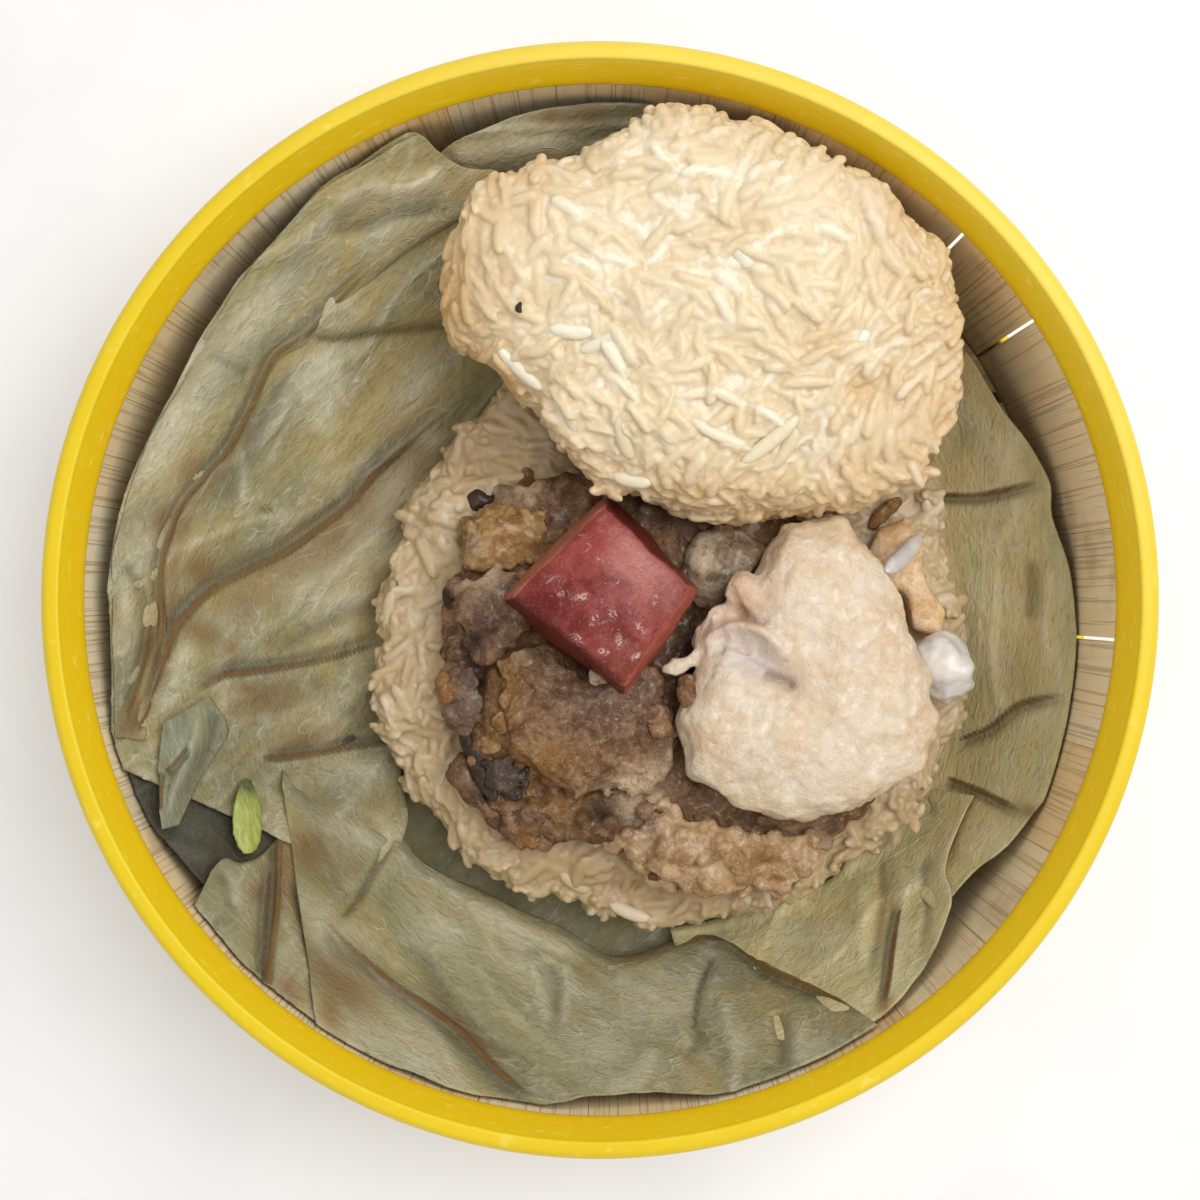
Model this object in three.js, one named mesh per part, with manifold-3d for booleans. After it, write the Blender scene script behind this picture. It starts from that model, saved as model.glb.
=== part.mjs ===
// Chicken glutinous rice: an opened lotus-leaf parcel of sticky rice, split to show its filling,
// with a piece of chicken on top, in a round steamer basket with a yellow rim.
// Millimetres, +Z up. The origin is on the table, under the middle of the basket.
import * as THREE from "three";
import { RoundedBoxGeometry } from "three/addons/geometries/RoundedBoxGeometry.js";
import { mergeVertices } from "three/addons/utils/BufferGeometryUtils.js";
import Module from "manifold-3d";

// Basket
const BASKET_RADIUS = 90;
const BASKET_HEIGHT = 58;
const WALL_INNER = 84.4;
const WALL_OUTER = 87.4;
const WALL_FOOT = 3;
const WALL_TOP = 52.2;
const RIM_SKIRT = 40;
const LIP_RADIUS = 84;
const RIM_CREST = 87;
const RIM_ROUND = 1.8;
const RIM_FOLD = 0.6;
const FOOT_HEIGHT = 14;
const FOOT_INSET = 0.4;
const HOOP_GAP = 0.5;
const FOOT_FLANGE = 81.5;
const FLANGE_TOP = 2.6;
const HOOP_SIDES = 56;
const STAVES = 29;
const FIRST_SEAM = 8;
const SEAM = 0.3;
const OPEN_SEAM = 0.55;
const OPEN_SEAMS = [2, 3, 28];
const LAP = 1.3;
const FLOOR_TOP = 8;
const SLAT_THICK = 3;
const SLAT_WIDTH = 13.2;
const SLAT_GAP = 2;
const SLATS = 11;
const BATTEN_WIDTH = 12;
const BATTEN_OFFSET = 46;
const BATTEN_LET_IN = 0.4;

// Leaf
const LEAF_THICK = 0.9;
const LEAF_LOWEST = 9.8;
const LEAF_RISE = 36;
const LEAF_DIP = 20;
const LEAF_DIP_ANGLE = 20;
const LEAF_STEP = 1.5;
const LEAF_WAVE = 0.7;
const LEAF_EDGE = 83.4;
const BED_HALF = 79;
const BED_TOP = 9.2;
const STUB_PLACE = [-60.8, -37.1];
const STUB_HALF = [2.3, 6.6, 1.5];
const STUB_TURN = 8;
const STUB_GAP = 0.5;

// Rice
const RICE_MIDDLE = [13, -8];
const RICE_RADIUS = 54;
const BASE_FOOT = 9.8;
const BASE_THICK = 18;
const TOP_FOOT = 28.5;
const TOP_THICK = 24.5;
const TOP_FRONT = 14;
const TOP_SWELL = 0.23;
const TOP_LEANS_FROM = 40;
const TOP_LEAN = 0.16;
const GRAIN_LENGTH = 6.8;
const GRAIN_WIDTH = 2.2;
const GRAIN_COUNT = 34;

// Filling
const CLEAR = 0.35;
const CUBE_SIDE = 22;
const CUBE_THICK = 15;
const CUBE_CORNER = 3.6;

const rad = THREE.MathUtils.degToRad;
const wasm = await Module();
wasm.setup();

// A repeatable stream of numbers from 0 to 1.
function numbers(seed) {
  let state = seed;
  return () => {
    state = (state + 0x6d2b79f5) | 0;
    let mixed = Math.imul(state ^ (state >>> 15), 1 | state);
    mixed = (mixed + Math.imul(mixed ^ (mixed >>> 7), 61 | mixed)) ^ mixed;
    return ((mixed ^ (mixed >>> 14)) >>> 0) / 4294967296;
  };
}

// Closed solids, joins and cuts

// A geometry as a solid, turned to face out.
function solidOf(geometry) {
  const bare = geometry.clone();
  bare.deleteAttribute("normal");
  bare.deleteAttribute("uv");
  const merged = mergeVertices(bare, 1e-4);
  const faces = new Uint32Array(merged.index.array);
  const make = () =>
    new wasm.Manifold(
      new wasm.Mesh({
        numProp: 3,
        vertProperties: new Float32Array(merged.attributes.position.array),
        triVerts: faces,
      }),
    );
  const solid = make();
  if (solid.volume() > 0) return solid;
  for (let i = 0; i < faces.length; i += 3) {
    [faces[i + 1], faces[i + 2]] = [faces[i + 2], faces[i + 1]];
  }
  return make();
}

// The largest body of a solid: loose scraps and sealed hollows go.
function largest(solid) {
  const bodies = solid.decompose();
  bodies.sort((a, b) => b.volume() - a.volume());
  return bodies[0];
}

// A piece cut back by what was laid before it, which is given with a clearance all round.
function settle(piece, laidBefore) {
  let left = piece;
  for (const neighbour of laidBefore) left = left.subtract(neighbour);
  return largest(left);
}

// A solid as a named mesh with its own finish.
function meshOf(name, solid, colour, roughness) {
  const data = solid.getMesh();
  const geometry = new THREE.BufferGeometry();
  geometry.setAttribute("position", new THREE.BufferAttribute(data.vertProperties, 3));
  geometry.setIndex(new THREE.BufferAttribute(data.triVerts, 1));
  geometry.computeVertexNormals();
  const finish = new THREE.MeshStandardMaterial({ color: colour, roughness, metalness: 0 });
  const mesh = new THREE.Mesh(geometry, finish);
  mesh.name = name;
  return mesh;
}

// A hoop turned about +Z from a closed profile of [radius, height] points.
function hoop(profile) {
  const points = [...profile, profile[0]].map(([r, z]) => new THREE.Vector2(r, z));
  return solidOf(new THREE.LatheGeometry(points, HOOP_SIDES).rotateX(Math.PI / 2));
}

// Basket

// The upper hoop, folded over the top of the wall and rounded along its crest.
function rimHoop() {
  return hoop([
    [LIP_RADIUS, WALL_TOP + SEAM],
    [LIP_RADIUS, WALL_TOP + SEAM + RIM_FOLD],
    [RIM_CREST - RIM_FOLD, BASKET_HEIGHT - RIM_FOLD],
    [RIM_CREST + RIM_FOLD / 2, BASKET_HEIGHT],
    [BASKET_RADIUS - 2 * RIM_FOLD, BASKET_HEIGHT - RIM_FOLD / 3],
    [BASKET_RADIUS, BASKET_HEIGHT - RIM_ROUND],
    [BASKET_RADIUS, RIM_SKIRT],
    [WALL_OUTER + HOOP_GAP, RIM_SKIRT],
    [WALL_OUTER + HOOP_GAP, WALL_TOP + SEAM],
  ]);
}

// The lower hoop, turned in underneath to carry the wall and the floor.
function footHoop() {
  const outside = BASKET_RADIUS - FOOT_INSET;
  return hoop([
    [FOOT_FLANGE, 0],
    [outside, 0],
    [outside, FOOT_HEIGHT],
    [WALL_OUTER + HOOP_GAP, FOOT_HEIGHT],
    [WALL_OUTER + HOOP_GAP, FLANGE_TOP],
    [FOOT_FLANGE, FLANGE_TOP],
  ]);
}

// One upright strip of the wall. Its edges are half-lapped, so that most seams show no light.
function stave(index) {
  const pitch = 360 / STAVES;
  const middle = (WALL_INNER + WALL_OUTER) / 2;
  const toAngle = (length) => length / middle;
  const opens = (seam) => OPEN_SEAMS.includes(seam % STAVES);
  const edge = (seam) => {
    const open = opens(seam);
    return { half: toAngle(open ? OPEN_SEAM : SEAM) / 2, lap: open ? 0 : toAngle(LAP) };
  };
  const [before, after] = [edge(index), edge(index + 1)];
  const start = rad(FIRST_SEAM + index * pitch);
  const end = start + rad(pitch);
  const [inStart, inEnd] = [start + before.half, end - after.half];
  const [outStart, outEnd] = [inStart + before.lap, inEnd + after.lap];
  const at = (radius, angle) => [radius * Math.cos(angle), radius * Math.sin(angle)];
  const outline = new THREE.Shape();
  outline.absarc(0, 0, WALL_OUTER, outStart, outEnd, false);
  outline.lineTo(...at(middle + SEAM / 2, outEnd));
  if (after.lap) outline.lineTo(...at(middle + SEAM / 2, inEnd));
  outline.absarc(0, 0, WALL_INNER, inEnd, inStart, true);
  outline.lineTo(...at(middle - SEAM / 2, inStart));
  if (before.lap) outline.lineTo(...at(middle - SEAM / 2, outStart));
  const options = { depth: WALL_TOP - WALL_FOOT, bevelEnabled: false, curveSegments: 1 };
  return solidOf(new THREE.ExtrudeGeometry(outline, options).translate(0, 0, WALL_FOOT));
}

// The slatted floor: slats trimmed to a disc, on two battens.
function slattedFloor() {
  const span = 2 * BASKET_RADIUS;
  const reach = WALL_INNER - SEAM;
  const trim = new THREE.CylinderGeometry(reach, reach, span, HOOP_SIDES);
  const disc = solidOf(trim.rotateX(Math.PI / 2));
  const battenFoot = FLANGE_TOP + SEAM;
  const battenThick = FLOOR_TOP - SLAT_THICK - battenFoot + BATTEN_LET_IN;
  let floor = null;
  for (const side of [-1, 1]) {
    const batten = new THREE.BoxGeometry(BATTEN_WIDTH, span, battenThick);
    batten.translate(side * BATTEN_OFFSET, 0, battenFoot + battenThick / 2);
    const solid = solidOf(batten);
    floor = floor ? floor.add(solid) : solid;
  }
  for (let i = 0; i < SLATS; i++) {
    const slat = new THREE.BoxGeometry(span, SLAT_WIDTH, SLAT_THICK);
    const place = (i - (SLATS - 1) / 2) * (SLAT_WIDTH + SLAT_GAP);
    slat.translate(0, place, FLOOR_TOP - SLAT_THICK / 2);
    floor = floor.add(solidOf(slat));
  }
  return largest(floor.intersect(disc));
}

// Leaf

// How far the rice reaches from the middle of the basket, towards an angle.
function riceReach(angle) {
  const [x, y] = RICE_MIDDLE;
  const along = x * Math.cos(angle) + y * Math.sin(angle);
  return along + Math.sqrt(RICE_RADIUS ** 2 - x * x - y * y + along * along);
}

// The height of the lowest layer of leaf: flat by the rice, and steep against the wall.
function leafHeight(x, y) {
  const angle = Math.atan2(y, x);
  const reach = riceReach(angle);
  const share = THREE.MathUtils.clamp((Math.hypot(x, y) - reach) / (LEAF_EDGE - reach), 0, 1);
  const dip = LEAF_DIP * Math.max(0, Math.cos(angle - rad(LEAF_DIP_ANGLE))) ** 2;
  const wave = LEAF_WAVE * Math.sin(9 * angle + 0.05 * x) * Math.sin(Math.PI * share);
  return LEAF_LOWEST + LEAF_THICK + (LEAF_RISE - dip) * share ** 1.25 + wave;
}

// A thin sheet whose upper face is map(u, v). Both faces are split into triangles alike.
function sheet(map, along, across) {
  const grid = new THREE.PlaneGeometry(1, 1, along, across);
  const place = grid.attributes.position;
  const count = place.count;
  const corners = [];
  for (let i = 0; i < count; i++) {
    corners.push(map(place.getX(i) + 0.5, 0.5 - place.getY(i)));
  }
  const below = corners.map((p) => new THREE.Vector3(p.x, p.y, p.z - LEAF_THICK));
  const upper = Array.from(grid.index.array);
  const faces = [...upper];
  for (let i = 0; i < upper.length; i += 3) {
    faces.push(upper[i] + count, upper[i + 2] + count, upper[i + 1] + count);
  }
  const row = along + 1;
  const loop = [];
  for (let i = 0; i < along; i++) loop.push(i);
  for (let j = 0; j < across; j++) loop.push(along + j * row);
  for (let i = along; i > 0; i--) loop.push(across * row + i);
  for (let j = across; j > 0; j--) loop.push(j * row);
  loop.forEach((from, k) => {
    const to = loop[(k + 1) % loop.length];
    faces.push(from, to, to + count, from, to + count, from + count);
  });
  const geometry = new THREE.BufferGeometry().setFromPoints([...corners, ...below]);
  geometry.setIndex(faces);
  return solidOf(geometry);
}

// A curve through [angle, radius] points about the middle of the basket.
function around(points) {
  const places = points.map(([angle, radius]) => {
    return new THREE.Vector2(radius * Math.cos(rad(angle)), radius * Math.sin(rad(angle)));
  });
  return new THREE.SplineCurve(places);
}

// A flap of leaf between an inner and an outer curve, lying on the layers below it.
function flap({ inner, outer, layer, along, across }) {
  const [near, far] = [around(inner), around(outer)];
  const map = (u, v) => {
    const place = near.getPoint(u).lerp(far.getPoint(u), v);
    return new THREE.Vector3(place.x, place.y, leafHeight(place.x, place.y) + layer * LEAF_STEP);
  };
  return sheet(map, along, across);
}

// The round sheet that lies under everything, from a square grid bent to a disc.
function leafBed() {
  const map = (u, v) => {
    const [a, b] = [2 * u - 1, 2 * v - 1];
    const x = BED_HALF * a * Math.sqrt(1 - (b * b) / 2);
    const y = BED_HALF * b * Math.sqrt(1 - (a * a) / 2);
    return new THREE.Vector3(x, y, BED_TOP + 0.15 * Math.sin(x / 9) * Math.cos(y / 11));
  };
  return sheet(map, 8, 8);
}

const FLAPS = {
  leaf_left: {
    inner: [[204, 47], [188, 44], [170, 43], [150, 43], [131, 45], [116, 48]],
    outer: [[198, 82], [185, 81.5], [170, 81.5], [150, 81.5], [130, 82], [112, 82]],
    layer: 1,
    along: 16,
    across: 7,
  },
  leaf_left_edge: {
    inner: [[195, 79], [185, 75], [170, 69.5], [150, 69], [130, 71], [117, 72]],
    outer: [[196, 81.5], [185, 81], [170, 81], [150, 81], [130, 81.5], [114, 82]],
    layer: 2,
    along: 14,
    across: 3,
  },
  leaf_top: {
    inner: [[122, 48], [108, 50], [94, 51]],
    outer: [[116, 82.5], [104, 81.5], [90, 82.8]],
    layer: 0,
    along: 8,
    across: 6,
  },
  leaf_corner: {
    inner: [[224, 53], [211, 50], [197, 48]],
    outer: [[218, 82.5], [208, 82.5], [198, 82.5]],
    layer: 0,
    along: 6,
    across: 5,
  },
  leaf_lower_left: {
    inner: [[248, 62], [232, 56], [214, 54], [206, 58]],
    outer: [[246, 83], [236, 83], [226, 83], [219, 82.5]],
    layer: 1,
    along: 8,
    across: 6,
  },
  leaf_bottom: {
    inner: [[300, 72], [288, 65.5], [270, 65], [252, 61], [236, 59], [226, 61]],
    outer: [[305, 82.5], [292, 83], [272, 83], [254, 83], [243, 83], [234, 82.5]],
    layer: 2,
    along: 16,
    across: 6,
  },
  leaf_pocket: {
    inner: [[325, 72], [310, 68.5], [296, 66], [284, 64.5]],
    outer: [[320, 81], [311, 81], [304, 83], [298, 83]],
    layer: 1,
    along: 8,
    across: 5,
  },
  leaf_right: {
    inner: [[33, 62], [16, 65], [0, 69], [-16, 71], [-30, 72.5], [-42, 71.5]],
    outer: [[31, 80], [16, 82], [0, 82.5], [-11, 83], [-25, 83], [-42, 80.5]],
    layer: 0,
    along: 14,
    across: 5,
  },
};

// A folded scrap of leaf with both its ends turned up, lying in the lower-left corner.
function leafScrap() {
  const near = new THREE.SplineCurve([new THREE.Vector2(-63, -18), new THREE.Vector2(-61, -30)]);
  const far = new THREE.SplineCurve([new THREE.Vector2(-71, -21), new THREE.Vector2(-69, -34)]);
  const map = (u, v) => {
    const place = near.getPoint(u).lerp(far.getPoint(u), v);
    const lift = 3 * LEAF_STEP + 1.6 * Math.sin(Math.PI * v);
    return new THREE.Vector3(place.x, place.y, leafHeight(place.x, place.y) + lift);
  };
  return sheet(map, 4, 5);
}

// The green end of the leaf's stalk, bent to the slope of the leaf that it lies on.
function leafStub() {
  const stub = new THREE.SphereGeometry(1, 10, 8).scale(...STUB_HALF).rotateZ(rad(STUB_TURN));
  stub.translate(...STUB_PLACE, LEAF_STEP + STUB_HALF[2] + STUB_GAP);
  const place = stub.attributes.position;
  for (let i = 0; i < place.count; i++) {
    place.setZ(i, place.getZ(i) + leafHeight(place.getX(i), place.getY(i)));
  }
  return solidOf(stub);
}

// Food

// The radius of an outline at an angle, smoothly through its points, about its own middle.
function outlineRadius(middle, points) {
  const knots = points.map(([x, y]) => {
    const [dx, dy] = [x - middle[0], y - middle[1]];
    return [Math.atan2(dy, dx), Math.hypot(dx, dy)];
  });
  knots.sort((a, b) => a[0] - b[0]);
  const n = knots.length;
  const knot = (i) => {
    const turns = Math.floor(i / n);
    const [angle, radius] = knots[i - turns * n];
    return [angle + turns * 2 * Math.PI, radius];
  };
  const slope = (i) => (knot(i + 1)[1] - knot(i - 1)[1]) / (knot(i + 1)[0] - knot(i - 1)[0]);
  return (angle) => {
    const i = knots.findLastIndex(([a]) => a <= angle);
    const [a0, r0] = knot(i);
    const [a1, r1] = knot(i + 1);
    const span = a1 - a0;
    const t = (angle - a0) / span;
    const [t2, t3] = [t * t, t * t * t];
    return (
      (2 * t3 - 3 * t2 + 1) * r0 +
      (t3 - 2 * t2 + t) * span * slope(i) +
      (3 * t2 - 2 * t3) * r1 +
      (t3 - t2) * span * slope(i + 1)
    );
  };
}

// A rounded lump of food over an outline. foot and thick give its underside and its depth at a
// place, and square makes its crown and its underside flatter as it nears 0.
class Lump {
  constructor({ middle, outline, foot, thick, square = 0.7, flat = 0.4, bump = 0.5, grid = [12, 7] }) {
    this.middle = middle;
    this.radius = outlineRadius(middle, outline);
    this.foot = typeof foot === "function" ? foot : () => foot;
    this.thick = typeof thick === "function" ? thick : () => thick;
    this.square = square;
    this.flat = flat;
    this.bump = bump;
    this.grid = grid;
  }

  // The point of the surface towards an angle, and down from the crown by fall, from 0 to pi.
  // A surface that stands proud by grow is used to cut what lies against the lump.
  point(angle, fall, grow = 0) {
    const share = Math.sin(fall) ** this.square;
    const level = Math.cos(fall);
    const power = level > 0 ? this.square : this.flat;
    const height = Math.sign(level) * Math.abs(level) ** power;
    const crag = Math.sin(5 * angle + 3 * height) * Math.sin(4 * fall + angle) * this.bump;
    const radius = share * (this.radius(angle) + crag + grow);
    const x = this.middle[0] + radius * Math.cos(angle);
    const y = this.middle[1] + radius * Math.sin(angle);
    const lift = (level > 0 ? crag * level * share : 0) + grow * height;
    return new THREE.Vector3(x, y, this.foot(x, y) + (this.thick(x, y) * (1 + height)) / 2 + lift);
  }

  // The way that the surface faces at that point.
  facing(angle, fall) {
    const step = 0.02;
    const across = this.point(angle + step, fall).sub(this.point(angle - step, fall));
    const down = this.point(angle, fall + step).sub(this.point(angle, fall - step));
    return down.cross(across).normalize();
  }

  // The height of the crown over a place, without its crags.
  crownAt(x, y) {
    const angle = Math.atan2(y - this.middle[1], x - this.middle[0]);
    const share = Math.hypot(x - this.middle[0], y - this.middle[1]) / this.radius(angle);
    const height = Math.max(0, 1 - share ** (2 / this.square)) ** (this.square / 2);
    return this.foot(x, y) + (this.thick(x, y) * (1 + height)) / 2;
  }

  solid(grow = 0) {
    const ball = new THREE.SphereGeometry(1, ...this.grid).rotateX(Math.PI / 2);
    const place = ball.attributes.position;
    for (let i = 0; i < place.count; i++) {
      const level = THREE.MathUtils.clamp(place.getZ(i), -1, 1);
      const atPole = Math.abs(level) > 1 - 1e-6;
      const angle = atPole ? 0 : Math.atan2(place.getY(i), place.getX(i));
      const turned = Math.abs(angle - Math.PI) < 1e-6 ? -Math.PI : angle;
      const fall = atPole ? (level > 0 ? 0 : Math.PI) : Math.acos(level);
      const point = this.point(turned, fall, grow);
      place.setXYZ(i, point.x, point.y, point.z);
    }
    return solidOf(ball);
  }
}

// One cooked grain: a long rounded pip of a few faces.
function grain(random) {
  const length = GRAIN_LENGTH * (0.85 + 0.3 * random());
  return new THREE.SphereGeometry(0.5, 5, 4).scale(GRAIN_WIDTH, length, GRAIN_WIDTH * 0.9);
}

// A lump of rice: its core with grains fused on where `shows` lets them, spread evenly.
function riceLump(lump, seed, fallRange, shows) {
  const random = numbers(seed);
  const golden = Math.PI * (3 - Math.sqrt(5));
  let solid = lump.solid();
  for (let k = 0; k < GRAIN_COUNT; k++) {
    const angle = ((k * golden) % (2 * Math.PI)) - Math.PI;
    const share = (k + 0.5) / GRAIN_COUNT;
    const fall = fallRange[0] + (fallRange[1] - fallRange[0]) * share;
    const at = lump.point(angle, fall);
    const out = lump.facing(angle, fall);
    const turn = random() * Math.PI;
    const pip = grain(random);
    if (!shows(at)) continue;
    const lean = new THREE.Quaternion().setFromUnitVectors(new THREE.Vector3(0, 0, 1), out);
    const spin = new THREE.Quaternion().setFromAxisAngle(new THREE.Vector3(0, 0, 1), turn);
    pip.applyQuaternion(lean.multiply(spin));
    pip.translate(...at.addScaledVector(out, 0.15));
    solid = solid.add(solidOf(pip));
  }
  return largest(solid);
}

const riceBase = new Lump({
  middle: RICE_MIDDLE,
  outline: [
    [66, 4], [61, 22], [51, 33], [32, 44], [6, 47], [-20, 40], [-33, 20], [-40, 0],
    [-41, -21], [-35, -35], [-26, -46], [-13, -53], [9, -60], [33, -56], [55, -42], [67, -18],
  ],
  foot: BASE_FOOT,
  thick: BASE_THICK,
  square: 0.5,
  flat: 0.3,
  bump: 0.7,
  grid: [24, 9],
});

// How far the underside of the upper lump rises where it leans back on the rim.
const topLean = (y) => TOP_LEAN * Math.max(0, y - TOP_LEANS_FROM);

const riceTop = new Lump({
  middle: [17, 46],
  outline: [
    [-27, 54], [-21, 67], [-7, 72], [6, 79], [20, 80.5], [34, 74], [47, 67], [57, 56], [62, 41],
    [59, 28], [46, 15], [28, 13], [15, 14], [-5, 21], [-11, 32], [-23, 38],
  ],
  foot: (x, y) => TOP_FOOT + topLean(y),
  thick: (x, y) => TOP_THICK + TOP_SWELL * (y - TOP_FRONT) - topLean(y),
  square: 0.62,
  flat: 0.5,
  bump: 1,
  grid: [22, 12],
});

const heap = new Lump({
  middle: [13, -14],
  outline: [
    [-26, 6], [-18, 20], [0, 22], [18, 18], [34, 14], [47, 8], [52, -7], [52, -21], [48, -35],
    [35, -48], [21, -49], [7, -46], [-2, -42], [-11, -43], [-18, -38], [-24, -25], [-27, -9],
  ],
  foot: (x, y) => riceBase.crownAt(x, y) + 1.1,
  thick: 5.5,
  square: 0.6,
  flat: 0.5,
  bump: 0.4,
  grid: [22, 8],
});

// The pieces of filling that lie on the heap, in the order that they were laid.
const FILLING = {
  fat_piece: {
    middle: [-17, 10],
    outline: [[-25, 8], [-22, 14], [-17, 17], [-10, 14], [-9, 8], [-15, 4], [-22, 4]],
    foot: 28,
    thick: 8,
    colour: 0x9a7a50,
  },
  meat_left: {
    middle: [-18, -1],
    outline: [[-26, 0], [-23, 4], [-17, 5.5], [-11, 4], [-11, -3], [-15, -9], [-21, -10], [-25, -6]],
    foot: 28,
    thick: 10,
    colour: 0x6a4a38,
  },
  mushroom_slice: {
    middle: [-23, -17],
    outline: [[-27, -13], [-22, -9], [-19, -16], [-20, -24], [-24, -25], [-27.5, -20]],
    foot: 27,
    thick: 7,
    colour: 0x6e5c50,
  },
  meat_centre: {
    middle: [-3, -20],
    outline: [
      [-17, -13], [-12, -9], [-4, -10], [4, -13], [12, -15], [14.5, -22], [10, -29], [6, -35],
      [-3, -33], [-13, -29], [-18, -23],
    ],
    foot: 29,
    thick: 11,
    colour: 0x6b5148,
  },
  mushroom_edge: {
    middle: [-16, -31],
    outline: [[-20, -28], [-12, -28], [-11, -33], [-16, -35], [-20, -32]],
    foot: 28,
    thick: 7,
    colour: 0x39302a,
  },
  mushroom_strip: {
    middle: [-20, -35],
    outline: [[-26, -26], [-24, -26.5], [-18, -34], [-14, -40.5], [-16, -42], [-21, -36]],
    foot: 26,
    thick: 6,
    colour: 0x5a3f2c,
  },
  meat_front: {
    middle: [-13, -38],
    outline: [[-17, -36], [-10, -34.5], [-7, -38], [-9, -42], [-13, -44], [-17, -41]],
    foot: 28,
    thick: 6,
    colour: 0x6e4a3a,
  },
  mince_right: {
    middle: [19, -42],
    outline: [
      [-1, -40], [7, -36.5], [16, -37], [25, -39], [37, -41], [37, -47], [28, -50.5], [16, -51],
      [6, -47],
    ],
    foot: 28,
    thick: 8,
    colour: 0xa58262,
  },
  fat_round: {
    middle: [21, 5],
    outline: [[14, 6], [16, 11.5], [24, 12.5], [29, 9], [29, 2], [23, -4], [17, -2]],
    foot: 28,
    thick: 10,
    colour: 0x92806a,
  },
  tan_strip: {
    middle: [54, 3],
    outline: [[47, 12], [51, 17], [55, 15], [58, 4], [61, -9], [57.5, -11], [53, 0]],
    foot: 25,
    thick: 7,
    colour: 0xb08a5a,
  },
};

// The chicken: a plump wing joint with a torn flap of skin at its left.
function chickenWing(grow) {
  const body = new Lump({
    middle: [36, -13],
    outline: [
      [30, 12], [35, 14], [42, 13.5], [48, 7], [54, -7], [57, -14], [57, -22], [53, -30], [46, -35],
      [39, -37], [30, -38], [22, -35], [15, -30], [13, -24], [15, -17], [17, -9], [24, 0],
    ],
    foot: 30,
    thick: 17,
    square: 0.72,
    flat: 0.5,
    bump: 0.8,
    grid: [18, 10],
  });
  const tear = new THREE.SphereGeometry(1, 8, 6).scale(5.2 + grow, 1.5 + grow, 1.2 + grow);
  const torn = solidOf(tear.rotateZ(rad(30)).translate(14.6, -10.2, 40));
  return body.solid(grow).add(torn);
}

// The pale knuckle at the end of the joint, where its skin ends.
function knuckle(grow) {
  const end = new Lump({
    middle: [60, -12],
    outline: [[55, -8], [60, -6], [63.5, -9], [64.5, -14], [60, -18], [56, -15]],
    foot: 27,
    thick: 10,
  });
  return end.solid(grow);
}

// The diced cured sausage, a soft-edged slab that leans a little.
function sausageCube(grow) {
  const [side, thick] = [CUBE_SIDE + 2 * grow, CUBE_THICK + 2 * grow];
  const cube = new RoundedBoxGeometry(side, side, thick, 2, CUBE_CORNER + grow);
  return solidOf(cube.rotateZ(rad(43)).rotateX(rad(4)).translate(0.5, 0.5, 41));
}

// Assembly

const dish = new THREE.Group();

const basket = new THREE.Group();
basket.add(meshOf("basket_rim", rimHoop(), 0xefcf3c, 0.4));
basket.add(meshOf("basket_foot", footHoop(), 0xe6c431, 0.4));
basket.add(meshOf("basket_floor", slattedFloor(), 0xc39c66, 0.7));
for (let i = 0; i < STAVES; i++) {
  const name = "wall_stave_" + String(i + 1).padStart(2, "0");
  basket.add(meshOf(name, stave(i), i % 2 ? 0xc8a16a : 0xbf9661, 0.65));
}
dish.add(basket);

const leaf = new THREE.Group();
leaf.add(meshOf("leaf_bed", leafBed(), 0x6f7052, 0.6));
for (const [name, spec] of Object.entries(FLAPS)) {
  leaf.add(meshOf(name, flap(spec), 0x9d9870, 0.55));
}
leaf.add(meshOf("leaf_scrap", leafScrap(), 0x8d8f70, 0.55));
leaf.add(meshOf("leaf_stub", leafStub(), 0x7f8f45, 0.5));
dish.add(leaf);

const rice = new THREE.Group();
const underTop = (at) => Math.hypot((at.x - 17) / 47, (at.y - 47) / 36) < 1;
const underFilling = (at) => Math.hypot((at.x - 18) / 50, (at.y + 12) / 42) < 1;
const baseSolid = riceLump(riceBase, 11, [0.75, 1.75], (at) => !underTop(at) && !underFilling(at));
const byChicken = (at) => at.x > 24 && at.x < 50 && at.y < 16.5 && at.z < 46;
const byHeap = (at) => at.y < 24 && at.z < 37;
const topSolid = riceLump(riceTop, 23, [0.3, 1.9], (at) => !byChicken(at) && !byHeap(at));
rice.add(meshOf("rice_base", baseSolid, 0xcdb48c, 0.45));
rice.add(meshOf("rice_top", topSolid, 0xece0c6, 0.45));
dish.add(rice);

const filling = new THREE.Group();
const laid = [riceTop.solid(CLEAR)];
const lay = (name, shape, colour, roughness) => {
  filling.add(meshOf(name, settle(shape(0), laid), colour, roughness));
  laid.push(shape(CLEAR));
};
lay("filling_heap", (grow) => heap.solid(grow), 0x7f6247, 0.45);
laid.push(riceBase.solid(CLEAR));
lay("chicken_wing", chickenWing, 0xe6d0b0, 0.45);
lay("sausage_cube", sausageCube, 0x9c3f37, 0.35);
for (const [name, spec] of Object.entries(FILLING)) {
  lay(name, (grow) => new Lump(spec).solid(grow), spec.colour, 0.4);
}
lay("wing_knuckle", knuckle, 0xdcd6ce, 0.4);
dish.add(filling);

export default dish;
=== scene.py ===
"""Chicken glutinous rice in a round steamer basket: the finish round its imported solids.

An opened leaf parcel of sticky rice lies in a bamboo basket with a yellow rim. Blender works in
metres, +Z up, with the origin on the table under the middle of the basket. Shapes are worked out
here in millimetres, and a Skin turns them into metres when it becomes a piece. Features that were
read off the photo are named traces and spots in its pixels; a View finds them on the surface.
"""

import logging
import math
from dataclasses import dataclass, field, fields
from enum import Enum
from typing import Callable, Iterable, Sequence

import bpy
import numpy as np
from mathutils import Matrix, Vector
from mathutils.bvhtree import BVHTree
from mathutils.kdtree import KDTree


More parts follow.
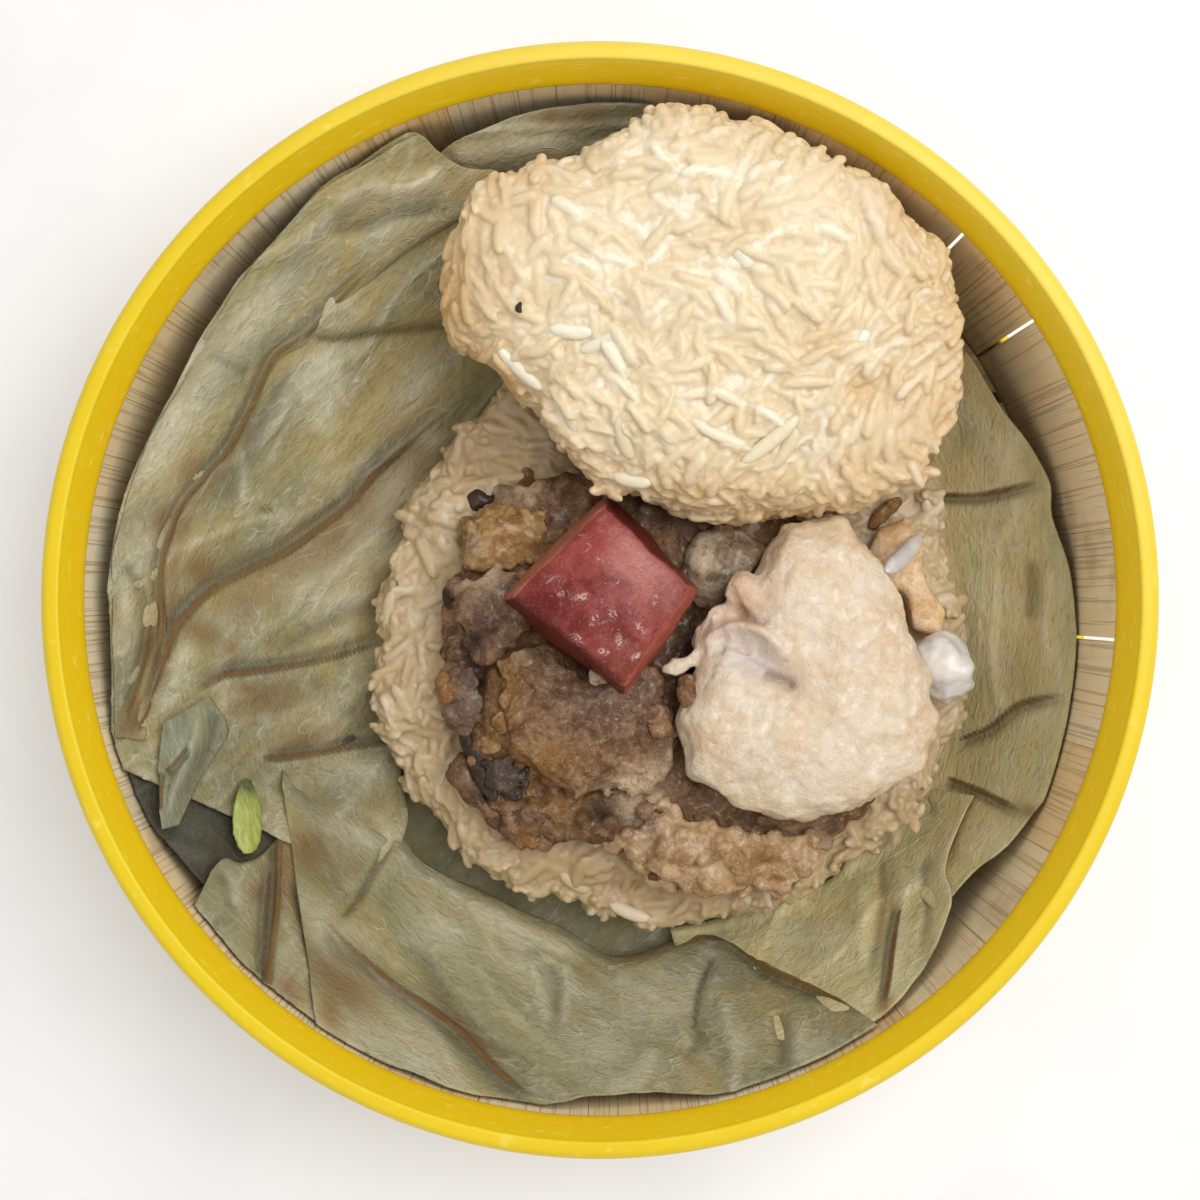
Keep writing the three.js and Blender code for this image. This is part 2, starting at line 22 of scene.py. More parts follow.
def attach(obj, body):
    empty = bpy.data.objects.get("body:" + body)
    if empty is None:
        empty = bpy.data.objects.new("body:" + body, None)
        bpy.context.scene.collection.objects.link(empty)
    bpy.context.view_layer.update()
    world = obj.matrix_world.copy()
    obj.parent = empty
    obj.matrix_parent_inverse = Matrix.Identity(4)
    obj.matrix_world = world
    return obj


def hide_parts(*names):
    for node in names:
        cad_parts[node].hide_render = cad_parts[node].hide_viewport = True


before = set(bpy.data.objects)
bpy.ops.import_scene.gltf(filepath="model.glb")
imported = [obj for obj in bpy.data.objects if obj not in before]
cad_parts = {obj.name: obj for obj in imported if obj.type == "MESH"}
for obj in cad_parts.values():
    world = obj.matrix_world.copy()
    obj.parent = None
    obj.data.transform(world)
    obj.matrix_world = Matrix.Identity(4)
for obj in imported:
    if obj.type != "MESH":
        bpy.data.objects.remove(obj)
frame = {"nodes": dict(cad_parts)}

LOG = logging.getLogger("glutinous_rice")
MM = 0.001
BODY = "root"
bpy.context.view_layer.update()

Trace = tuple[tuple[float, float], ...]
Number = "float | Wire"


def srgb(red: float, green: float, blue: float) -> tuple[float, float, float, float]:
    """A colour given from 0 to 255, as a shader's linear colour.

    Args:
        red: the red share.
        green: the green share.
        blue: the blue share.

    Returns:
        Linear red, green and blue, and an alpha of 1.
    """
    linear = []
    for share in (red, green, blue):
        value = share / 255
        linear.append(value / 12.92 if value <= 0.04045 else ((value + 0.055) / 1.055) ** 2.4)
    return (*linear, 1.0)


# Shader expressions


@dataclass(frozen=True)
class Wire:
    """A value inside a recipe. Arithmetic on it adds Math nodes."""

    recipe: "Recipe"
    socket: bpy.types.NodeSocket

    def _math(self, operation: str, *values: Number) -> "Wire":
        """The result of one Math node on some values."""
        return self.recipe.node("ShaderNodeMath", {"operation": operation}, dict(enumerate(values)))

    def __add__(self, other: Number) -> "Wire":
        """Self plus other."""
        return self._math("ADD", self, other)

    __radd__ = __add__

    def __sub__(self, other: Number) -> "Wire":
        """Self minus other."""
        return self._math("SUBTRACT", self, other)

    def __rsub__(self, other: Number) -> "Wire":
        """Other minus self."""
        return self._math("SUBTRACT", other, self)

    def __mul__(self, other: Number) -> "Wire":
        """Self times other."""
        return self._math("MULTIPLY", self, other)

    __rmul__ = __mul__

    def __truediv__(self, other: Number) -> "Wire":
        """Self over other."""
        return self._math("DIVIDE", self, other)

    def __pow__(self, other: Number) -> "Wire":
        """Self to the power other."""
        return self._math("POWER", self, other)

    def step(self, low: float, high: float) -> "Wire":
        """A smooth rise from 0 at low to 1 at high, or a fall where low is the larger."""
        settings = {"interpolation_type": "SMOOTHSTEP", "clamp": True}
        values = {0: self, 1: min(low, high), 2: max(low, high)}
        rise = self.recipe.node("ShaderNodeMapRange", settings, values)
        return rise if low < high else 1 - rise


class Recipe:
    """The node tree of one material, written as expressions."""

    def __init__(self, name: str) -> None:
        """Starts an empty material.

        Args:
            name: the material's name.
        """
        self.material = bpy.data.materials.new(name)
        self.material.use_nodes = True
        self.tree = self.material.node_tree
        self.tree.nodes.clear()
        self.place = self._place()

    def _place(self) -> Wire:
        """The place on the object, in millimetres."""
        metres = self.node("ShaderNodeTexCoord", out=3)
        return self.node("ShaderNodeVectorMath", {"operation": "SCALE"}, {0: metres, 3: 1 / MM})

    def node(
        self, kind: str, settings: dict | None = None, values: dict | None = None, out: int = 0,
    ) -> Wire:
        """Adds a node.

        Args:
            kind: the node's type.
            settings: its own options, which are set first; "stops" are a ramp's stops.
            values: numbers, colours or wires for its sockets, by name or place.
            out: the place of the output that is wanted.

        Returns:
            That output.
        """
        made = self.tree.nodes.new(kind)
        for key, value in (settings or {}).items():
            if key == "stops":
                self._set_stops(made.color_ramp, value)
            else:
                setattr(made, key, value)
        for key, value in (values or {}).items():
            if isinstance(value, Wire):
                self.tree.links.new(value.socket, made.inputs[key])
            else:
                made.inputs[key].default_value = value
        return Wire(self, made.outputs[out])

    @staticmethod
    def _set_stops(ramp: bpy.types.ColorRamp, stops: Sequence[tuple]) -> None:
        """Gives a ramp its stops, each a place and a colour."""
        while len(ramp.elements) < len(stops):
            ramp.elements.new(1.0)
        for element, (place, colour) in zip(ramp.elements, stops):
            element.position = place
            element.color = colour

    def mark(self, name: str) -> Wire:
        """A number that the mesh holds at each point."""
        return self.node("ShaderNodeAttribute", {"attribute_name": name}, out=2)

    def stretched(self, x: float, y: float, z: float) -> Wire:
        """The place, scaled along each axis, so that noise on it is drawn out."""
        values = {0: self.place, 1: (x, y, z)}
        return self.node("ShaderNodeVectorMath", {"operation": "MULTIPLY"}, values)

    def drawn(self, angle: float, length: float) -> Wire:
        """The place, turned and scaled so that noise on it is drawn out along one way.

        Args:
            angle: that way, in degrees from +X.
            length: how far it is drawn out.

        Returns:
            The place.
        """
        values = {0: self.place, 2: (0, 0, math.radians(angle)), 3: (length, 1, 1)}
        return self.node("ShaderNodeMapping", {"vector_type": "TEXTURE"}, values)

    def joined(self, x: Number, y: Number, z: Number) -> Wire:
        """A vector of three numbers."""
        return self.node("ShaderNodeCombineXYZ", None, {0: x, 1: y, 2: z})

    def noise(
        self, size: float, detail: float = 3.0, at: Wire | None = None, warp: float = 0.0,
        rough: float = 0.55,
    ) -> Wire:
        """Soft noise, mostly from 0.3 to 0.7.

        Args:
            size: the size of its patches in millimetres.
            detail: how many finer layers it has.
            at: the place to read it at, if not the plain one.
            warp: how far it is twisted.
            rough: how strong the finer layers are.

        Returns:
            The noise.
        """
        values = {
            "Vector": at or self.place, "Scale": 1 / size, "Detail": detail, "Roughness": rough,
            "Distortion": warp,
        }
        return self.node("ShaderNodeTexNoise", None, values)

    def threads(
        self, size: float, width: float, detail: float = 2, warp: float = 1.0, at: Wire | None = None
    ) -> Wire:
        """Thin wandering lines.

        Args:
            size: how far apart they lie, in millimetres.
            width: how wide they are, as a share of that.
            detail: how many finer layers bend them.
            warp: how far they are twisted.
            at: the place to read them at, if not the plain one.

        Returns:
            1 on a line and 0 off it.
        """
        level = self.noise(size, detail, at, warp) - 0.5
        return self.node("ShaderNodeMath", {"operation": "ABSOLUTE"}, {0: level}).step(width, 0)

    def layers(self, colour: object, *coats: tuple[object, Number]) -> Wire:
        """A colour with others laid over it.

        Args:
            colour: the first colour.
            *coats: the others in turn, each with the share that it covers.

        Returns:
            The colour that shows.
        """
        settings = {"data_type": "RGBA", "clamp_factor": True}
        for coat, share in coats:
            colour = self.node("ShaderNodeMix", settings, {0: share, 6: colour, 7: coat}, out=2)
        return colour

    def bumped(self, height: Wire, depth: float) -> Wire:
        """A normal tilted by a height, where a height of 1 stands for a depth in millimetres."""
        values = {"Strength": 1.0, "Distance": depth * MM, "Height": height}
        return self.node("ShaderNodeBump", None, values)

    def finish(self, **values: object) -> bpy.types.Material:
        """Ends the recipe with its surface.

        Args:
            **values: the shader's sockets by name, with _ for a space.

        Returns:
            The material.
        """
        sockets = {key.replace("_", " "): value for key, value in values.items()}
        surface = self.node("ShaderNodeBsdfPrincipled", None, sockets)
        output = self.tree.nodes.new("ShaderNodeOutputMaterial")
        self.tree.links.new(surface.socket, output.inputs["Surface"])
        return self.material


# Noise and places


class Noise:
    """Repeatable soft noise at points, from hashed numbers on a lattice."""

    CORNERS = np.array([[i, j, k] for i in (0, 1) for j in (0, 1) for k in (0, 1)])

    def __init__(self, seed: int) -> None:
        """Noise of its own for each seed."""
        self.seed = seed

    def _hash(self, cells: np.ndarray, channel: int = 0) -> np.ndarray:
        """A number from 0 to 1 for each cell."""
        mixed = cells[..., 0] * 73856093 ^ cells[..., 1] * 19349663 ^ cells[..., 2] * 83492791
        mixed = (mixed + self.seed * 9781 + channel * 6271) & 0xFFFFFFFF
        for _ in range(2):
            mixed = (((mixed >> 16) ^ mixed) * 0x45D9F3B) & 0xFFFFFFFF
        return ((mixed >> 16) ^ mixed) / 0xFFFFFFFF

    def soft(self, points: np.ndarray, size: float) -> np.ndarray:
        """Smooth noise from -1 to 1.

        Args:
            points: places, one a row.
            size: the size of its patches.

        Returns:
            One value for each place.
        """
        at = points / size
        base = np.floor(at).astype(np.int64)
        part = at - base
        part = part * part * (3 - 2 * part)
        total = np.zeros(len(points))
        for corner in self.CORNERS:
            weight = np.prod(np.where(corner, part, 1 - part), axis=1)
            total += weight * self._hash(base + corner)
        return 2 * total - 1

    def layered(self, points: np.ndarray, size: float, layers: int = 3) -> np.ndarray:
        """Smooth noise with finer and weaker layers on it.

        Args:
            points: places, one a row.
            size: the size of its largest patches.
            layers: how many sizes it has, each half the last.

        Returns:
            One value for each place, mostly from -1 to 1.
        """
        total = np.zeros(len(points))
        for layer in range(layers):
            total += 0.5**layer * self.soft(points + 37.3 * layer, size * 0.5**layer)
        return total

    def folds(self, points: np.ndarray, size: float) -> np.ndarray:
        """Sharp crests between soft hollows, from 0 to 1."""
        return (1 - np.abs(self.soft(points, size))) ** 3

    def pebbles(self, points: np.ndarray, size: float) -> np.ndarray:
        """Round pebbles packed side by side.

        Args:
            points: places, one a row.
            size: how far apart the pebbles lie.

        Returns:
            1 on a pebble's middle and 0 at its border, for each place.
        """
        at = points / size
        base = np.floor(at).astype(np.int64)
        nearest = np.full(len(points), 9.0)
        second = np.full(len(points), 9.0)
        steps = np.array(np.meshgrid([-1, 0, 1], [-1, 0, 1], [-1, 0, 1])).reshape(3, -1).T
        for step in steps:
            cell = base + step
            seed = np.column_stack([self._hash(cell, channel) for channel in (1, 2, 3)])
            gap = np.linalg.norm(cell + seed - at, axis=1)
            second = np.minimum(second, np.maximum(nearest, gap))
            nearest = np.minimum(nearest, gap)
        return np.clip((second - nearest) * 1.6, 0, 1)


def rise(values: np.ndarray, low: float, high: float) -> np.ndarray:
    """A smooth rise from 0 at low to 1 at high, or a fall where low is the larger."""
    share = np.clip((values - low) / (high - low), 0, 1)
    return share * share * (3 - 2 * share)


@dataclass(frozen=True)
class View:
    """The photo's camera, straight above the basket, and its frame in pixels."""

    height: float = 350.0
    lens: float = 54.69
    film: float = 36.0
    frame: float = 1200.0

    @property
    def focal(self) -> float:
        """The focal length in pixels."""
        return self.frame * self.lens / self.film

    def pixels(self, points: np.ndarray) -> np.ndarray:
        """The pixels where points in millimetres show."""
        scale = (self.focal / (self.height - points[:, 2]))[:, None]
        return self.frame / 2 + points[:, :2] * scale * (1, -1)

    def points(self, pixels: np.ndarray, heights: np.ndarray) -> np.ndarray:
        """The points at some heights that show at some pixels."""
        scale = ((self.height - heights) / self.focal)[:, None]
        return np.column_stack([(pixels - self.frame / 2) * (1, -1) * scale, heights])

    def set_camera(self) -> None:
        """Adds the camera."""
        data = bpy.data.cameras.new("camera")
        data.lens = self.lens
        data.sensor_width = self.film
        data.clip_start = 0.01
        camera = bpy.data.objects.new("camera", data)
        camera.location = (0, 0, self.height * MM)
        bpy.context.scene.collection.objects.link(camera)
        bpy.context.scene.camera = camera


VIEW = View()


class Path:
    """A smooth line through pixels of the photo."""

    def __init__(self, trace: Trace, steps: int = 5) -> None:
        """Fits the line.

        Args:
            trace: the pixels that it passes.
            steps: how many straight bits run from one to the next.
        """
        knots = np.array([trace[0], *trace, trace[-1]], float)
        line = []
        for a, b, c, d in zip(knots, knots[1:], knots[2:], knots[3:]):
            for t in np.linspace(0, 1, steps, endpoint=False):
                bend = (2 * a - 5 * b + 4 * c - d) * t * t + (3 * b - 3 * c + d - a) * t**3
                line.append(b + ((c - a) * t + bend) / 2)
        self.line = np.array([*line, knots[-1]])

    def spaced(self, shares: np.ndarray) -> np.ndarray:
        """The pixels at some shares of its length."""
        run = np.concatenate([[0], np.cumsum(np.linalg.norm(np.diff(self.line, axis=0), axis=1))])
        return np.column_stack([np.interp(shares * run[-1], run, self.line[:, i]) for i in (0, 1)])

    def measure(self, pixels: np.ndarray, reach: float) -> tuple[np.ndarray, np.ndarray]:
        """How far pixels lie from the line.

        Args:
            pixels: the pixels, one a row.
            reach: pixels further off than this are only called far.

        Returns:
            The distance, positive to the right of the way that the line runs, and the share of
            its length at the nearest place.
        """
        best = np.full(len(pixels), 1e6)
        side = np.ones(len(pixels))
        along = np.zeros(len(pixels))
        low, high = self.line.min(0) - reach, self.line.max(0) + reach
        near = np.flatnonzero(((pixels > low) & (pixels < high)).all(1))
        count = len(self.line) - 1
        for index in range(count):
            start, way = self.line[index], self.line[index + 1] - self.line[index]
            offset = pixels[near] - start
            share = np.clip(offset @ way / max(way @ way, 1e-9), 0, 1)
            offset -= share[:, None] * way
            gap = np.hypot(offset[:, 0], offset[:, 1])
            closer = gap < best[near]
            chosen = near[closer]
            best[chosen] = gap[closer]
            turn = way[0] * offset[closer, 1] - way[1] * offset[closer, 0]
            side[chosen] = np.where(turn < 0, -1, 1)
            along[chosen] = (index + share[closer]) / count
        return best * side, along


@dataclass(frozen=True)
class Spot:
    """A round patch at a pixel, which fades to its edge."""

    pixel: tuple[float, float]
    radius: float
    squash: float = 1.0
    turn: float = 0.0

    def share(self, pixels: np.ndarray) -> np.ndarray:
        """How strongly the spot shows at some pixels, from 0 to 1."""
        angle = math.radians(self.turn)
        offset = pixels - self.pixel
        along = offset[:, 0] * math.cos(angle) + offset[:, 1] * math.sin(angle)
        across = offset[:, 1] * math.cos(angle) - offset[:, 0] * math.sin(angle)
        return np.exp(-((along / self.radius) ** 2) - (across / (self.radius * self.squash)) ** 2)


# Surfaces


@dataclass
class Skin:
    """A surface in millimetres that is shaped point by point, and then made a piece."""

    points: np.ndarray
    faces: np.ndarray | list[tuple[int, ...]]
    marks: dict[str, np.ndarray] = field(default_factory=dict)

    @classmethod
    def of_mesh(cls, mesh: bpy.types.Mesh, unit: float) -> "Skin":
        """The surface of a mesh.

        Args:
            mesh: a mesh of triangles alone, or of quads alone.
            unit: how many millimetres its unit is.

        Returns:
            The surface.
        """
        points = np.empty(len(mesh.vertices) * 3)
        mesh.vertices.foreach_get("co", points)
        corners = np.empty(len(mesh.loops), int)
        mesh.loops.foreach_get("vertex_index", corners)
        return cls(points.reshape(-1, 3) * unit, corners.reshape(len(mesh.polygons), -1))

    @classmethod
    def of_node(cls, *names: str) -> "Skin":
        """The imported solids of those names, each with its shared corners merged."""
        solids = []
        for name in names:
            raw = cls.of_mesh(frame["nodes"][name].data, 1 / MM)
            points, places = np.unique(raw.points.round(3), axis=0, return_inverse=True)
            solids.append(cls(points, places.reshape(-1)[raw.faces]))
        return cls.joined(solids)

    @classmethod
    def joined(cls, skins: Iterable["Skin"]) -> "Skin":
        """Several surfaces of triangles as one, with the marks that all of them hold."""
        skins = list(skins)
        starts = np.cumsum([0] + [len(skin.points) for skin in skins])
        names = set.intersection(*(set(skin.marks) for skin in skins))
        return cls(
            np.concatenate([skin.points for skin in skins]),
            np.concatenate([skin.faces + start for skin, start in zip(skins, starts)]),
            {name: np.concatenate([skin.marks[name] for skin in skins]) for name in names},
        )

    @classmethod
    def grid(cls, points: np.ndarray, thick: float) -> "Skin":
        """A closed thin sheet under a grid of points.

        Args:
            points: the upper face, as rows of points.
            thick: how far the lower face lies below it.

        Returns:
            The sheet, whose first points are its upper face, and then its lower face.
        """
        rows, columns = points.shape[:2]
        count = rows * columns
        upper = points.reshape(-1, 3)
        index = np.arange(count).reshape(rows, columns)
        corners = [index[:-1, :-1], index[:-1, 1:], index[1:, 1:], index[1:, :-1]]
        top = np.stack([corner.reshape(-1) for corner in corners], axis=1)
        rim = np.concatenate([index[0, :-1], index[:-1, -1], index[-1, :0:-1], index[:0:-1, 0]])
        after = np.roll(rim, -1)
        sides = np.stack([after, rim, rim + count, after + count], axis=1)
        faces = np.concatenate([top, top[:, ::-1] + count, sides])
        skin = cls(np.concatenate([upper, upper - (0, 0, thick)]), faces)
        if skin.normals()[:count, 2].mean() < 0:
            skin.faces = faces[:, ::-1]
        return skin

    def triangles(self) -> "Skin":
        """The same surface with its quads cut in two."""
        if self.faces.shape[1] == 3:
            return self
        halves = np.concatenate([self.faces[:, [0, 1, 2]], self.faces[:, [0, 2, 3]]])
        return Skin(self.points, halves, self.marks)

    def normals(self) -> np.ndarray:
        """The way that each point faces."""
        corners = self.points[self.faces]
        across = corners[:, 2] - corners[:, 0]
        if self.faces.shape[1] == 4:
            facing = np.cross(across, corners[:, 3] - corners[:, 1])
        else:
            facing = np.cross(corners[:, 1] - corners[:, 0], across)
        total = np.zeros_like(self.points)
        for column in self.faces.T:
            for axis in range(3):
                total[:, axis] += np.bincount(column, facing[:, axis], len(total))
        return total / np.maximum(np.linalg.norm(total, axis=1), 1e-9)[:, None]

    def _edges(self) -> np.ndarray:
        """The pairs of points that an edge joins."""
        pairs = np.stack([self.faces, np.roll(self.faces, -1, axis=1)], axis=2).reshape(-1, 2)
        return np.unique(np.sort(pairs, axis=1), axis=0)

    def smoothed(self, rounds: int, share: float = 0.5) -> "Skin":
        """The surface with each point drawn towards its neighbours.

        Args:
            rounds: how many times.
            share: how far each time.

        Returns:
            This surface.
        """
        first, second = self._edges().T
        count = len(self.points)
        weight = np.bincount(first, minlength=count) + np.bincount(second, minlength=count)
        for _ in range(rounds):
            for axis in range(3):
                values = self.points[:, axis]
                total = np.bincount(first, values[second], minlength=count)
                total += np.bincount(second, values[first], minlength=count)
                self.points[:, axis] += share * (total / np.maximum(weight, 1) - values)
        return self

    def pushed(self, distance: np.ndarray | float) -> "Skin":
        """The surface with each point moved out along its normal."""
        self.points = self.points + self.normals() * np.reshape(distance, (-1, 1))
        return self

    def hollows(self, rounds: int) -> np.ndarray:
        """How far each point lies under the surface, once that has been smoothed so many times."""
        even = Skin(self.points.copy(), self.faces).smoothed(rounds)
        return ((even.points - self.points) * even.normals()).sum(1)

    def seams(self, owners: np.ndarray, rounds: int) -> np.ndarray:
        """How near each point lies to a seam between parts, from 0 to 1.

        Args:
            owners: the part that each point belongs to.
            rounds: how far the seams are spread.

        Returns:
            The nearness.
        """
        edges = self._edges()
        first, second = edges.T
        count = len(self.points)
        weight = np.maximum(np.bincount(edges.ravel(), minlength=count), 1)
        apart = (owners[first] != owners[second]).astype(float)
        near = (np.bincount(first, apart, count) + np.bincount(second, apart, count)) / weight
        for _ in range(rounds):
            total = np.bincount(first, near[second], count) + np.bincount(second, near[first], count)
            near = 0.4 * near + 0.6 * total / weight
        return np.clip(2.2 * near, 0, 1)

    def evened(self, voxel: float, keep: float = 1.0) -> "Skin":
        """The same form as one skin of even quads, which fuses what overlaps.

        Args:
            voxel: the length of their sides.
            keep: the share of them to keep, as triangles that are larger where it is flatter.

        Returns:
            The new surface.
        """
        shape = bpy.data.objects.new("raw", self._mesh("raw", 1.0))
        bpy.context.scene.collection.objects.link(shape)
        modifier = shape.modifiers.new("even", "REMESH")
        modifier.mode = "VOXEL"
        modifier.voxel_size = voxel
        if keep < 1:
            thinned = shape.modifiers.new("thinned", "DECIMATE")
            thinned.ratio = keep
            thinned.use_collapse_triangulate = True
        shaped = shape.evaluated_get(bpy.context.evaluated_depsgraph_get())
        even = Skin.of_mesh(shaped.to_mesh(), 1.0)
        shaped.to_mesh_clear()
        mesh = shape.data
        bpy.data.objects.remove(shape)
        bpy.data.meshes.remove(mesh)
        return even

    def _mesh(self, name: str, unit: float) -> bpy.types.Mesh:
        """The surface as a smooth mesh with its marks."""
        mesh = bpy.data.meshes.new(name)
        mesh.from_pydata((self.points * unit).tolist(), [], [tuple(f) for f in self.faces])
        mesh.shade_smooth()
        for mark, values in self.marks.items():
            layer = mesh.attributes.new(mark, "FLOAT", "POINT")
            layer.data.foreach_set("value", np.asarray(values, np.float32))
        return mesh

    def piece(
        self, name: str, finish: bpy.types.Material, slot: str, replaces: Sequence[str] = (),
    ) -> bpy.types.Object:
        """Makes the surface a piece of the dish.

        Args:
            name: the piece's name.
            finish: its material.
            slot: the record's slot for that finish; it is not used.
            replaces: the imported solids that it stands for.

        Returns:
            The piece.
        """
        mesh = self._mesh(name, MM)
        mesh.materials.append(finish)
        made = bpy.data.objects.new(name, mesh)
        bpy.context.scene.collection.objects.link(made)
        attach(made, BODY)
        if replaces:
            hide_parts(*replaces)
        triangles = sum(len(face) - 2 for face in self.faces)
        LOG.info("%s: %d triangles", name, triangles)
        return made


def fillet(profile: Sequence[tuple[float, float]], radius: float) -> np.ndarray:
    """A closed profile with its corners rounded.

    Args:
        profile: its corners, as radius and height.
        radius: the length of side that each rounding may take.

    Returns:
        The rounded profile, one point a row.
    """
    corners = np.array(profile, float)
    rounded = []
    for before, at, after in zip(np.roll(corners, 1, 0), corners, np.roll(corners, -1, 0)):
        start, end = (
            at + (other - at) * min(radius / np.linalg.norm(other - at), 0.45)
            for other in (before, after)
        )
        for t in np.linspace(0, 1, 4):
            rounded.append((1 - t) ** 2 * start + 2 * t * (1 - t) * at + t * t * end)
    return np.array(rounded)


def turned(profile: np.ndarray, sides: int) -> Skin:
    """A hoop turned about +Z.

    Args:
        profile: its closed profile, as radius and height, going round counterclockwise.
        sides: how many steps it has.

    Returns:
        The hoop.
    """
    angles = np.linspace(0, 2 * math.pi, sides, endpoint=False)
    count = len(profile)
    points = np.empty((sides, count, 3))
    points[..., 0] = np.outer(np.cos(angles), profile[:, 0])
    points[..., 1] = np.outer(np.sin(angles), profile[:, 0])
    points[..., 2] = profile[:, 1]
    index = np.arange(sides * count).reshape(sides, count)
    here, there = index, np.roll(index, -1, axis=0)
    quads = [here, there, np.roll(there, -1, axis=1), np.roll(here, -1, axis=1)]
    faces = np.stack([corner.reshape(-1) for corner in quads], axis=1)
    return Skin(points.reshape(-1, 3), faces)


# Basket


@dataclass(frozen=True)
class YellowPlastic:
    """Moulded yellow plastic: glossy, a little cloudy, with fine scuffs, and a painted sheen on its upper
    right side.
    """

    clear: tuple = srgb(226, 196, 16)
    deep: tuple = srgb(220, 184, 4)
    inside: tuple = srgb(220, 180, 1)
    cloudy: tuple = srgb(246, 226, 120)

    def make(self) -> bpy.types.Material:
        """The material."""
        recipe = Recipe("yellow_plastic")
        drift = recipe.noise(26, 3)
        fine = recipe.noise(1.6, 4)
        scuff = recipe.noise(0.5, 2, at=recipe.stretched(0.12, 0.12, 1)).step(0.62, 0.74)
        colour = recipe.layers(
            self.clear,
            (self.deep, drift.step(0.35, 0.7) * 0.5),
            (self.inside, recipe.mark("inside") * 0.8),
            (self.cloudy, scuff * 0.3 + fine.step(0.55, 0.8) * 0.12),
            # A painted sheen: the hoop is paler on its upper right side, where the light falls.
            (self.cloudy, recipe.mark("faded") * 0.3),
        )
        return recipe.finish(
            Base_Color=colour, Roughness=0.36 + scuff * 0.16 + drift * 0.1,
            Normal=recipe.bumped(fine * 0.6 + drift * 2.5, 0.12), Specular_IOR_Level=0.36,
        )


@dataclass(frozen=True)
class SplitBamboo:
    """Split bamboo with fine brown fibres. Staves run up the wall and slats run along +X."""

    pale: tuple = srgb(255, 240, 202)
    warm: tuple = srgb(252, 216, 154)
    fibre: tuple = srgb(176, 126, 74)
    damp: tuple = srgb(152, 124, 92)

    def make(self, upright: bool) -> bpy.types.Material:
        """The material.

        Args:
            upright: whether it is for the wall's staves, which carry marks for their fibres.

        Returns:
            The material.
        """
        recipe = Recipe("bamboo_wall" if upright else "bamboo_floor")
        if upright:
            up = recipe.mark("up")
            along = recipe.joined(recipe.mark("around"), up * 0.006, recipe.mark("tone") * 90)
            tone = recipe.mark("tone")
        else:
            along = recipe.stretched(0.03, 1, 0.4)
            up = recipe.noise(40) * 60
            tone = recipe.noise(15, 1, at=recipe.stretched(0.02, 1, 0.1)).step(0.3, 0.7)
        lines = recipe.noise(0.42, 3, at=along).step(0.53, 0.68)
        broad = recipe.noise(2.4, 2, at=along)
        colour = recipe.layers(
            self.warm,
            (self.pale, tone * 0.8 + broad.step(0.3, 0.75) * 0.3),
            (self.fibre, lines * 0.4),
            (self.damp, recipe.noise(18, 3).step(0.55, 0.75) * 0.35),
        )
        return recipe.finish(
            Base_Color=colour, Roughness=0.62 - broad * 0.15, Normal=recipe.bumped(1 - lines, 0.1),
        )


